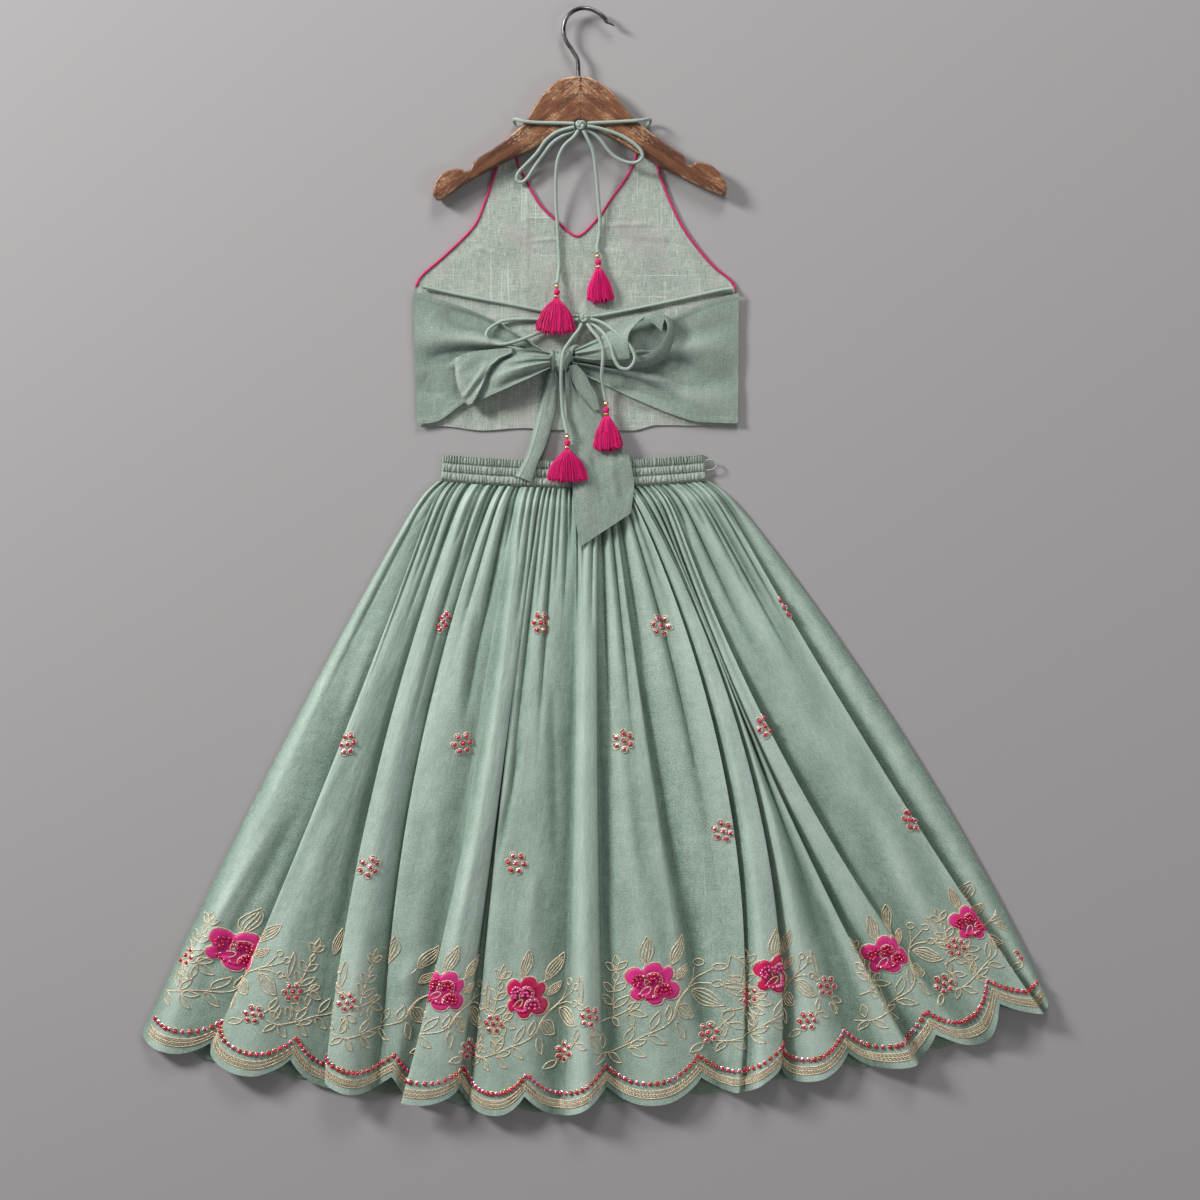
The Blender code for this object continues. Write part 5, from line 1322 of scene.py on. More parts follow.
    def rose(self, start: float, scale: float) -> Patch:
        """Raised satin of a rose: rings of its outline from the middle out, sinking into the cloth at the edge."""
        outline = smooth_curve(ROSE_OUTLINE + ROSE_OUTLINE[:1], ROSE_SAMPLES)
        share, lift, tone = np.array(ROSE_RINGS).T
        rings, out = len(share), share[:, None, None]
        plan = (np.array(ROSE_MIDDLE) * (1.0 - out) + outline[None] * out).reshape(-1, 2)
        cloth = np.clip(start + plan[:, 0] / SCALLOP_PITCH, *THREAD_ENDS)
        points, normals = self.skirt.find(cloth, (ROSE_HEIGHT + plan[:, 1]) * scale)
        raised = points + normals * np.repeat(lift, ROSE_SAMPLES)[:, None]
        uv = np.stack(np.meshgrid(0.04 * shares(ROSE_SAMPLES), 0.02 * shares(rings)), axis=2).reshape(-1, 2)
        return facing_up(Patch(raised, [grid_quads(rings, ROSE_SAMPLES)], uv, np.repeat(tone, ROSE_SAMPLES)))

    def ribbons(self) -> Patch:
        """All threads as bars with a rounded top, following the cloth.

        Each place has four corners: two a little under the cloth and two above it. The tone changes from stitch
        to stitch.
        """
        sizes = np.array([len(line) for line in self.lines])
        everything = np.concatenate(self.lines)
        points, normals = self.skirt.find(everything[:, 0], everything[:, 1])
        owner = np.repeat(np.arange(len(sizes)), sizes)
        index = np.arange(len(points))
        after = np.where(np.roll(owner, -1) == owner, np.roll(index, -1), index)
        before = np.where(np.roll(owner, 1) == owner, np.roll(index, 1), index)
        after[-1], before[0] = len(points) - 1, 0
        along = unit(points[after] - points[before])
        side = unit(np.cross(along, normals))
        width, top = self.half_width, self.height
        corners = ((-width, -0.3), (-0.55 * width, top), (0.55 * width, top), (width, -0.3))
        ring = np.stack([points + side * out + normals * up for out, up in corners], axis=1)
        pairs = index[after != index]
        following = after[pairs]
        quads = [np.stack((4 * pairs + a, 4 * pairs + b, 4 * following + b, 4 * following + a), axis=1)
                 for a, b in ((0, 1), (1, 2), (2, 3))]
        uv = np.stack(np.meshgrid(np.array((0.0, 0.5, 1.0, 1.5)) * width * MM, travelled(points) * MM), axis=2)
        tone = np.clip(0.5 + 0.22 * self.chance.normal(size=len(points)), 0.0, 1.0)
        patch = Patch(ring.reshape(-1, 3), [np.concatenate(quads)], uv.reshape(-1, 2), np.repeat(tone, 4))
        return facing_up(patch, slice(len(pairs), 2 * len(pairs)))

    def strip(self) -> Patch:
        """Strip of tissue under the stitched band."""
        cloth = np.linspace(*BEAD_ENDS, TISSUE_COLUMNS)
        offset, lift = np.array(TISSUE).T
        height = offset[:, None] - SCALLOP_DEPTH * scallop(cloth)
        points, normals = self.skirt.find(np.tile(cloth, len(offset)), height.ravel())
        raised = points + normals * np.repeat(lift, TISSUE_COLUMNS)[:, None]
        uv = grid_uv(raised.reshape(*height.shape, 3)).reshape(-1, 2)
        return facing_up(Patch(raised, [grid_quads(*height.shape)], uv, np.full(len(raised), 0.4)))

    def placed(self, kind: str, template: Patch, lift: float) -> Patch:
        """Copies of a small shape at every kept place of a kind, each turned with the cloth."""
        table = np.array(self.beads[kind])
        points, normals = self.skirt.find(table[:, 0], table[:, 1])
        side = unit(np.cross(normals, np.array((0.3, 1.0, 0.1))))
        front = np.cross(normals, side)
        size = table[:, 2][:, None, None] * self.chance.uniform(0.92, 1.08, (len(table), 1, 1))
        local = template.points[None] * size
        made = (points[:, None] + side[:, None] * local[..., :1] + front[:, None] * local[..., 1:2]
                + normals[:, None] * (local[..., 2:] + lift))
        steps = np.arange(len(table))[:, None, None] * len(template.points)
        faces = [(group[None] + steps).reshape(-1, group.shape[1]) for group in template.faces]
        tone = np.repeat(self.chance.uniform(0.0, 1.0, len(table)), len(template.points))
        return Patch(made.reshape(-1, 3), faces, np.tile(template.uv, (len(table), 1)), tone).outward()

    def build(self) -> list[bpy.types.Object]:
        """Work every unit, then make one piece for each kind of thread or bead."""
        self.border()
        for start, petals, scale in UNITS:
            self.scale = scale
            self.unit_work(start, petals)
        self.scale = 1.0
        for cloth, height in SCATTERED:
            self.flower(cloth, height, 1.06)
        pieces = [
            fit("border_band_tissue", self.strip(), (GOLD_TISSUE,), "gold"),
            fit("gold_thread_work", self.ribbons(), (GOLD_THREAD,), "gold", crisp=180.0),
        ]
        for colour, finish in (("pink", PINK_SATIN), ("crimson", CRIMSON_SATIN)):
            roses = [self.rose(start, scale) for start, petals, scale in UNITS if petals == colour]
            pieces.append(fit(f"satin_roses_{colour}", joined(roses), (finish,), "pink_thread", crisp=180.0))
        bead = ball(np.zeros(3), np.array((0.0, 0.0, 1.0)), 1.0, 8, 6, 0.8)
        angles = np.linspace(0.0, math.tau, 13)
        ring = np.stack((np.cos(angles), np.sin(angles), 0.0 * angles), axis=1)
        wire = sweep(ring * 0.86, 0.17, 5)
        disc = sweep(ring * 0.66, 0.34, 6, 0.35)
        for name, kind, template, lift, finish, slot in (
                ("crimson_beads", "crimson", bead, 1.2, CRIMSON_BEAD, "crimson_piping"),
                ("pink_beads", "pink", bead, 1.2, PINK_BEAD, "pink_thread"),
                ("gold_rings", "ring", wire, 0.5, GOLD, "gold"),
                ("silver_sequins", "silver", disc, 0.5, SILVER, "gold")):
            pieces.append(fit(name, self.placed(kind, template, lift), (finish,), slot, crisp=180.0))
        return pieces


@dataclass
class LowerSkirt:
    """Front panel, which lies under the back one: near flat with soft troughs on both sides."""

    columns: int = 241
    rows: int = 61
    inset: float = 2.0
    depth: float = 19.0
    shift: float = 0.15
    flare: tuple[float, float] = (0.13, 0.25)

    def place(self, across: Array, down: Array) -> tuple[Array, Array]:
        """Plan of the panel, as in the solids: straight from the waist to its own scalloped hem."""
        line_x = np.array(HEM_LINE)[:, 0]
        end_x = line_x[0] + self.inset + across * (line_x[-1] - line_x[0] - 2.0 * self.inset)
        end_y = hem_line(end_x) - self.depth * scallop(end_x / SCALLOP_PITCH + self.shift)
        start_x = WAIST_LEFT + self.inset + across * (WAIST_RIGHT - WAIST_LEFT - 2.0 * self.inset)
        start_y = waist_line(start_x) - SEAM
        flare = self.flare[0] + (self.flare[1] - self.flare[0]) * across
        return (start_x + (end_x - start_x) * (down + flare * down * (1.0 - down)),
                start_y + (end_y - start_y) * down)

    def build(self) -> bpy.types.Object:
        """Closed shell with gathers at the waist that fade into soft waves."""
        across, down = np.meshgrid(shares(self.columns), shares(self.rows))
        x, y = self.place(across, down)
        gathers = 0.25 * np.cos(math.tau * 30.0 * (across + 0.01 * np.sin(17.0 * across))) * np.exp(-down / 0.2)
        waves = 0.3 * drift(across * 17.0, down * 1.6 + 7.0, 8)
        z = 1.25 + gathers + waves
        uv = np.stack((across * 1.1, down * 0.6), axis=2)
        patch = cloth_shell(np.stack((x, y, z), axis=2), uv, 0.6, (1, 0))
        piece = fit("skirt_front_folds", patch, (SAGE, INNER), "sage_cloth", "skirt_front")
        return piece


@dataclass
class GatheredBand:
    """Waistband: a frill over two elastic channels, finely gathered."""

    columns: int = 901
    rows: int = 43
    gathers: int = 98

    def place(self, across: Array, level: Array) -> tuple[Array, Array]:
        """Plan of the band: level runs 0 at its lower edge to 1 at its slightly shorter upper edge."""
        x = WAIST_LEFT + BAND_INSET + across * (WAIST_RIGHT - WAIST_LEFT - 2.0 * BAND_INSET)
        x = x + (0.5 - across) * BAND_TAPER * level
        return x, waist_line(x) + BAND_HEIGHT * level

    def build(self) -> None:
        """Gathers of uneven pitch whose depth is least on the seams, over a plain front band."""
        profile = np.array(BAND_PROFILE)
        share = shares(self.rows)
        height = np.interp(share, profile[:, 0], profile[:, 1])[:, None]
        depth = np.interp(share, profile[:, 0], profile[:, 2])[:, None]
        across, level = np.meshgrid(shares(self.columns), share)
        x, y = self.place(across, level)
        row = np.floor(level * 3.0)
        phase = (self.gathers * (0.62 + 0.19 * row) * across + 0.9 * drift(across * 34.0, row * 3.0 + 1.0, 11)
                 + 0.25 * drift(across * 90.0, level * 7.0, 12))
        fold = np.abs(np.sin(math.pi * phase)) ** 0.8
        strong = 0.65 + 0.35 * drift(across * 60.0, row * 5.0 + 2.0, 13)
        z = height + depth * (fold - 0.75) * strong
        y = y + 0.5 * drift(across * 95.0, np.full_like(level, 3.0), 14) * ease(level, 0.8, 1.0)
        sides = ease(across, 0.0, 0.006) * ease(1.0 - across, 0.0, 0.006)
        z = 4.2 + (z - 4.2) * sides
        uv = np.stack((across * 0.40, level * 0.030), axis=2)
        patch = cloth_shell(np.stack((x, y, z), axis=2), uv, 0.6)
        piece = fit("waistband_back_gathers", patch, (SAGE_BAND,), "sage_cloth", "waistband_back")

        across, level = np.meshgrid(shares(301), shares(13))
        x, y = self.place(across, level)
        phase = 60.0 * across + 0.6 * drift(across * 30.0, level * 2.0, 15)
        z = 2.1 + 0.5 * np.abs(np.sin(math.pi * phase)) * np.sin(math.pi * np.clip(level, 0.03, 0.97)) ** 0.4
        uv = np.stack((across * 0.40, level * 0.030), axis=2)
        patch = cloth_shell(np.stack((x, y, z), axis=2), uv, 1.6)
        piece = fit("waistband_front_gathers", patch, (SAGE_BAND,), "sage_cloth", "waistband_front")


def soft_lines(x: Array, y: Array, table: Sequence[Sequence[float]]) -> Array:
    """Height of troughs and ridges along straight lines, each fading at both ends.

    Args:
        x: of each place.
        y: of each place.
        table: both ends, depth and half width of each line; a negative depth is a ridge.

    Returns:
        The height in millimetres at each place.
    """
    total = np.zeros_like(x)
    for x0, y0, x1, y1, depth, half in table:
        length = math.hypot(x1 - x0, y1 - y0)
        along = ((x - x0) * (x1 - x0) + (y - y0) * (y1 - y0)) / length ** 2
        aside = ((x - x0) * (y1 - y0) - (y - y0) * (x1 - x0)) / length
        fade = ease(along, -0.15, 0.3) * ease(1.0 - along, -0.15, 0.3)
        total -= depth * np.exp(-(aside / half) ** 2) * fade
    return total


def between(first: Array, second: Array, count: int) -> Array:
    """Grid whose columns run evenly from one edge to the other: stations by count by axes."""
    share = shares(count)[None, :, None]
    return first[:, None] * (1.0 - share) + second[:, None] * share


def plan_uv(points: Array) -> Array:
    """Place on the cloth of a nearly flat grid: its plan, in metres."""
    return points[..., :2] * MM


def grid_uv(points: Array) -> Array:
    """Place on the cloth by travelled length along both directions of a grid, in metres."""
    gaps = (np.linalg.norm(np.diff(points, axis=axis), axis=2).mean(axis=1 - axis) for axis in (1, 0))
    return np.stack(np.meshgrid(*(np.concatenate(([0.0], np.cumsum(gap))) for gap in gaps)), axis=2) * MM


@dataclass
class Blouse:
    """Front panel with its lining up, the piping of its edges, and the two wings of the back."""

    rows: int = 121
    columns: int = 61

    def build(self) -> None:
        """Front panel, piping and wings."""
        self.build_front()
        self.build_piping()
        self.build_wing("choli_back_left", WING_LEFT_TOP, WING_LEFT_BOTTOM, WING_LEFT_CREASES, 21)
        self.build_wing("choli_back_right", WING_RIGHT_TOP, WING_RIGHT_BOTTOM, WING_RIGHT_CREASES, 22)

    def half(self, armhole: Array, neck: Array, corner: tuple[float, float]) -> Patch:
        """Half of the panel, ruled from the armhole and side seam to the neck and the centre line.

        Args:
            armhole: from the strap down.
            neck: from the strap down to its point.
            corner: lower end of the side seam.

        Returns:
            The closed shell of the half.
        """
        hem = np.array(BLOUSE_HEM)
        upper = self.rows // 2 + 1
        centre_x = neck[-1, 0]
        foot = (centre_x, float(monotone(hem[:, 0], hem[:, 1], np.array([centre_x]))[0]))

        def edge(curve: Array, end: tuple[float, float]) -> Array:
            """Curved upper part of an edge and the straight run from there to its lower end."""
            return np.vstack((smooth_curve(curve, upper), between(curve[-1:], np.array([end]), upper)[0, 1:]))

        plan = between(edge(armhole, corner), edge(neck, foot), self.columns)
        x, y = plan[..., 0], plan[..., 1]
        low = shares(len(plan))[:, None] ** 6
        y = y + (monotone(hem[:, 0], hem[:, 1], np.clip(x, hem[0, 0], hem[-1, 0])) - y[-1][None, :]) * low
        z = 1.45 + 1.8 * soft_lines(x, y, LINING_CREASES) + 0.28 * drift(x / 19.0, y / 23.0, 31)
        z = np.clip(z, 1.05, 2.6)
        points = np.stack((x, y, z), axis=2)
        return cloth_shell(points, plan_uv(points), 0.9, (0, 1))

    def build_front(self) -> None:
        """Both halves of the lining as one piece."""
        neck = smooth_curve(NECK_EDGE, 161)
        point = int(np.argmin(neck[:, 1]))
        left = self.half(np.array(ARMHOLE_LEFT), neck[:point + 1][::8], BLOUSE_HEM[0])
        right = self.half(np.array(ARMHOLE_RIGHT), np.vstack((neck[point + 1:][::-1], neck[point]))[::8],
                          BLOUSE_HEM[-1])
        piece = fit("choli_front_cloth", joined((left, right)), (LINING, SAGE), "sage_lining", "choli_front")

    def build_piping(self) -> None:
        """Corded edges along the neck and the armholes, beside the panel as in the solids."""
        neck = smooth_curve(NECK_EDGE, 141)
        edges = (
            ("piping_neck", neck, 1.0),
            ("piping_armhole_left", smooth_curve(ARMHOLE_LEFT, 91), -1.0),
            ("piping_armhole_right", smooth_curve(ARMHOLE_RIGHT, 91), 1.0),
        )
        for name, line, side in edges:
            along = unit(np.gradient(line, axis=0))
            away = np.stack((-along[:, 1], along[:, 0]), axis=1) * side
            height = np.full((len(line), 1), PIPING_RADIUS + 0.35)
            path = np.hstack((line + away * (PIPING_RADIUS + 0.2), height))
            fit(f"{name}_cord", sweep(path, PIPING_RADIUS, 10), (PIPING,), "crimson_piping", name)

    def build_wing(self, node: str, top_edge: tuple, bottom_edge: tuple, creases: tuple, seed: int) -> None:
        """Back wing that narrows to the knot, its creases running in to it.

        Args:
            node: solid that the wing stands for.
            top_edge: from the side seam to the knot.
            bottom_edge: from the side seam to the knot.
            creases: rows of a crease table.
            seed: of the slight unevenness.
        """
        rows, columns = 81, 141
        plan = between(smooth_curve(bottom_edge, columns), smooth_curve(top_edge, columns), rows)
        plan = plan.transpose(1, 0, 2)
        level = shares(rows)[:, None]
        inward = shares(columns)[None, :]
        lift = 5.2 + 1.8 * inward ** 2
        for at_side, at_knot, start, depth, half in creases:
            centre = at_side + (at_knot - at_side) * inward
            width = half * (1.0 + 1.2 * (1.0 - inward))
            begun = ease(inward, start - 0.1, start + 0.2)
            lift = lift - 3.3 * depth * np.exp(-((level - centre) / width) ** 2) * begun
        edge = np.minimum(level, 1.0 - level)
        lift = lift + 0.3 * drift(inward * 9.0, level * 5.0, seed)
        hem = 0.45 * ease(0.045 - edge, 0.0, 0.012)
        z = np.maximum(lift + hem, 2.75)
        points = np.concatenate((plan, z[..., None]), axis=2)
        patch = cloth_shell(points, plan_uv(points), 1.0)
        piece = fit(f"{node}_cloth", patch, (SAGE_SASH,), "sage_cloth", node)


@dataclass
class SashBow:
    """Bow of the two wings: knot, a folded loop, an open loop and two tails."""

    def build(self) -> None:
        """Every part of the bow from the floor up."""
        self.build_tail("sash_tail_left", LEFT_TAIL, (), 0.26, 3.2)
        flap = self.tail_grid(TAIL_FLAP, 41, 15)
        flap[..., 2] += 0.9 * np.sin(math.pi * shares(15))[None, :]
        self.build_tail("sash_tail_right", RIGHT_TAIL, RIGHT_TAIL_TROUGHS, 0.0, 0.0, (flap,))
        self.build_left_loop()
        self.build_right_loop()
        self.build_knot()

    def tail_grid(self, table: tuple, stations: int, columns: int) -> Array:
        """Grid of a tail between its smooth left and right edge."""
        rows = np.array(table)
        left = smooth_curve(rows[:, [0, 1, 4]], stations)
        right = smooth_curve(rows[:, [2, 3, 4]], stations)
        return between(left, right, columns)

    def build_tail(self, node: str, table: tuple, troughs: tuple, ridge: float, drop: float,
                   extra: tuple[Array, ...] = ()) -> None:
        """Hanging end of the sash.

        Args:
            node: solid that the tail stands for.
            table: both edges and the height from the knot to the end.
            troughs: soft lines across the cloth.
            ridge: share of the width where the cloth turns down, or 0.
            drop: how far it turns down there.
            extra: grids of folds that lie on the tail.
        """
        stations, columns = 121, 41
        points = self.tail_grid(table, stations, columns)
        share, along = shares(columns)[None, :], shares(stations)[:, None]
        gather = np.exp(-along / 0.18)
        pleats = 0.9 * gather * np.sin(math.tau * (2.6 * share + 0.15)) + 1.3 * np.sin(math.pi * share) ** 0.7
        z = points[..., 2] + pleats + 0.25 * drift(points[..., 0] / 12.0, points[..., 1] / 25.0, 41)
        z = z + soft_lines(points[..., 0], points[..., 1], troughs)
        if ridge:
            z = z - drop * ease(ridge - share, 0.0, ridge) + 0.5 * np.exp(-((share - ridge) / 0.05) ** 2)
        points[..., 2] = z
        patches = [cloth_shell(points, grid_uv(points), 0.9)]
        patches += [cloth_shell(grid, grid_uv(grid), 0.9) for grid in extra]
        piece = fit(f"{node}_cloth", joined(patches), (SAGE_SASH,), "sage_cloth", node)

    def build_left_loop(self) -> None:
        """Flattened loop: the cloth goes out low, turns at the tip and comes back above, folded once."""
        low_run, turn, high_run, columns = 30, 9, 102, 61
        top, bottom = smooth_curve(LEFT_LOOP_TOP, high_run), smooth_curve(LEFT_LOOP_BOTTOM, high_run)
        plan = between(bottom, top, columns)
        out = shares(high_run)[:, None]
        side = shares(columns)[None, :]
        plan[..., 0] -= 5.5 * np.sin(math.pi * side ** 0.75) * ease(out, 0.6, 1.0)
        fold = np.array(LEFT_LOOP_FOLD)
        beyond = plan[..., 0] - np.interp(plan[..., 1], fold[:, 0], fold[:, 1])
        high = 13.4 + 6.3 * np.sin(math.pi * (0.15 + 0.85 * out)) + 1.4 * out + 1.4 * np.sin(math.pi * side)
        high = high - 6.2 * np.exp(-np.maximum(beyond, 0.0) / 10.0) * ease(beyond, -0.6, 1.4) * ease(out, 0.2, 0.5)
        high = high + 1.0 * np.exp(-(beyond / 2.0) ** 2)
        high = high + soft_lines(plan[..., 0], plan[..., 1], LEFT_LOOP_CREASES)
        pleat = np.sin(math.tau * (2.7 * side + 0.35)) + 0.6 * np.sin(math.tau * (5.2 * side + 0.1))
        high = high + 1.1 * pleat * (1.0 - ease(out, 0.0, 0.62))
        high = high + 1.3 * np.exp(-((side - 0.42 + 0.1 * out) / 0.09) ** 2) * (1.0 - ease(out, 0.1, 0.6))
        high = high + 0.3 * drift(plan[..., 0] / 9.0, plan[..., 1] / 9.0, 51)
        upper = np.concatenate((plan, high[..., None]), axis=2)[::-1]
        step = np.linspace(0, high_run - 1, low_run).astype(int)
        low = np.broadcast_to(8.2 - 1.2 * out[step], (low_run, columns))
        lower = np.concatenate((plan[step], low[..., None]), axis=2)
        angle = np.linspace(-math.pi / 2.0, math.pi / 2.0, turn + 2)[1:-1, None, None]
        middle, half = 0.5 * (upper[0] + lower[-1]), 0.5 * (upper[0] - lower[-1])
        way = unit(plan[-1] - plan[-4])
        bulge = np.concatenate((way * 4.0, np.zeros((columns, 1))), axis=1)
        tip = middle[None] + bulge[None] * np.cos(angle) + half[None] * np.sin(angle)
        rolled = np.concatenate((lower, tip, upper), axis=0)
        patch = cloth_shell(rolled, grid_uv(rolled), 0.9)
        piece = fit("sash_loop_left_cloth", patch, (SAGE_SASH,), "sage_cloth", "sash_loop_left")

    def build_right_loop(self) -> None:
        """Open loop: back layer, standing wall, front layer and the flap over the mouth."""
        patches = []
        stations, columns, front_layer = 81, 41, 2
        side, out = shares(columns)[None, :], shares(stations)[:, None]
        for number, (first, second, arch, pleat) in enumerate(RIGHT_LOOP_SHEETS):
            grid = between(smooth_curve(first, stations), smooth_curve(second, stations), columns)
            if number == front_layer:
                grid[..., 0] -= 11.0 * np.sin(math.pi * side ** 1.25) * ease(out, 0.45, 1.0) ** 2
                grid[..., 2] += 1.6 * np.exp(-((out - 1.0) / 0.12) ** 2) * np.sin(math.pi * side) ** 0.5
            folds = np.sin(math.tau * (2.3 * side + 0.1 * number)) + 0.5 * np.sin(math.tau * (4.6 * side + 0.4))
            grid[..., 2] += arch * np.sin(math.pi * side) + pleat * folds * (1.0 - ease(out, 0.0, 0.7))
            grid[..., 2] += 0.3 * drift(grid[..., 0] / 11.0, grid[..., 1] / 11.0, 60 + number)
            patches.append(cloth_shell(grid, grid_uv(grid), 0.8))
        piece = fit("sash_loop_right_cloth", joined(patches), (SAGE_SASH,), "sage_cloth", "sash_loop_right")

    def build_knot(self) -> None:
        """Wrapped knot: a barrel whose grooves run the way the cloth is wrapped, with a tuft beside it."""
        wrap, width = np.meshgrid(np.linspace(0.0, math.tau, 121), np.linspace(-1.0, 1.0, 57), indexing="ij")
        swell = (1.0 - np.abs(width) ** 3.4) ** 0.5
        groove = (0.15 * np.sin(math.pi * (2.9 * width + 0.25 * np.sin(wrap)) + 0.6)
                  + 0.06 * np.sin(math.pi * 6.1 * width + 0.7 * np.cos(wrap)) + 0.05 * drift(width * 5.0, wrap, 71))
        reach = (0.90 + groove) * swell + 0.06
        taper = 1.0 - 0.16 * (1.0 - np.cos(wrap)) * 0.5
        x = KNOT_CENTRE[0] + KNOT_HALF[0] * 0.98 * width * taper + 1.4 * np.cos(wrap)
        y = KNOT_CENTRE[1] + KNOT_HALF[1] * reach * np.cos(wrap)
        z = KNOT_CENTRE[2] + KNOT_HALF[2] * reach * np.sin(wrap)
        points = np.stack((x, y, np.maximum(z, 2.2)), axis=2)
        barrel = Patch(points.reshape(-1, 3), [grid_quads(*wrap.shape)], grid_uv(points).reshape(-1, 2),
                       np.full(wrap.size, 0.5)).outward()
        turn = shares(31)[:, None]
        over = shares(9)[None, :]
        angle = math.pi * (0.15 + 1.25 * turn)
        ring = 5.2 - 2.6 * over
        tuft = np.stack((-19.5 + ring * 1.25 * np.cos(angle) + 2.0 * over, 217.5 + ring * 0.9 * np.sin(angle),
                         8.6 + 3.4 * over + 0.5 * np.sin(9.0 * turn)), axis=2)
        patch = joined((barrel, cloth_shell(tuft, grid_uv(tuft), 0.8)))
        fit("sash_knot_cloth", patch, (SAGE_SASH,), "sage_cloth", "sash_knot")


@dataclass
class CordBows:
    """The two cord bows: stretches, loops and tails as free cords, and a knot in each."""

    tassels: dict[str, list[bpy.types.Object]]

    def build(self) -> None:
        """Every cord and both knots."""
        for name, route in CORD_ROUTES.items():
            count = 2 * round(path_length(smooth_curve(route, 60)) / 4.0) + 1
            path = smooth_curve(route, count)
            piece = fit(f"{name}_cord", sweep(path, CORD_RADIUS, 12), (CORD,), "sage_cord", name)
            is_tail = "tail" in name
            knot = "neck_cord_knot_tied" if name.startswith("neck") else "back_cord_knot_tied"
            LOG.info("%s runs %.0f mm from %s", name, path_length(path), knot)
            path_length(path) * MM
            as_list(self.tassels[name.replace("_tail", "")] if is_tail else [])
        self.build_knot("neck_cord_knot", NECK_KNOT, 20.0)
        self.build_knot("back_cord_knot", BACK_KNOT, -12.0)

    def build_knot(self, node: str, centre: tuple[float, float, float], heading: float) -> None:
        """Overhand knot: a trefoil of cord pressed flat."""
        turn = np.linspace(0.0, math.tau * 1.02, 97)
        reach = 2.6 + 1.35 * np.cos(3.0 * turn)
        x, y, z = reach * np.cos(2.0 * turn), reach * np.sin(2.0 * turn), 1.5 * np.sin(3.0 * turn)
        cosine, sine = math.cos(math.radians(heading)), math.sin(math.radians(heading))
        path = np.stack((x * cosine - y * sine, x * sine + y * cosine, z), axis=1) * (1.05, 0.9, 1.0)
        fit(f"{node}_tied", sweep(path + centre, CORD_RADIUS, 10), (CORD,), "sage_cord", node)


def ball(centre: Array, along: Array, radius: float, segments: int, rings: int, length: float = 1.0,
         windings: float = 0.0, tone: float = 0.5) -> Patch:
    """Bead round an axis, with ridges of wound thread if windings is over zero.

    Args:
        centre: of the bead.
        along: direction of its axis.
        radius: across the axis.
        segments: round the axis.
        rings: from end to end.
        length: along the axis over its radius.
        windings: turns of thread from end to end.
        tone: of the whole bead.

    Returns:
        The closed bead.
    """
    up = np.tile((1.0, 0.0, 0.0) if abs(along[2]) > 0.9 else (0.0, 0.0, 1.0), (rings, 1))
    angles = np.linspace(0.03, math.pi - 0.03, rings)
    ridge = 1.0 + (0.06 * np.sin(math.tau * windings * angles / math.pi) if windings else 0.0)
    profile = np.maximum(np.sin(angles) * ridge, 0.02) * radius
    path = np.asarray(centre) - np.asarray(along) * (np.cos(angles) * radius * length)[:, None]
    return sweep(path, profile, segments, 1.0, tone, up)


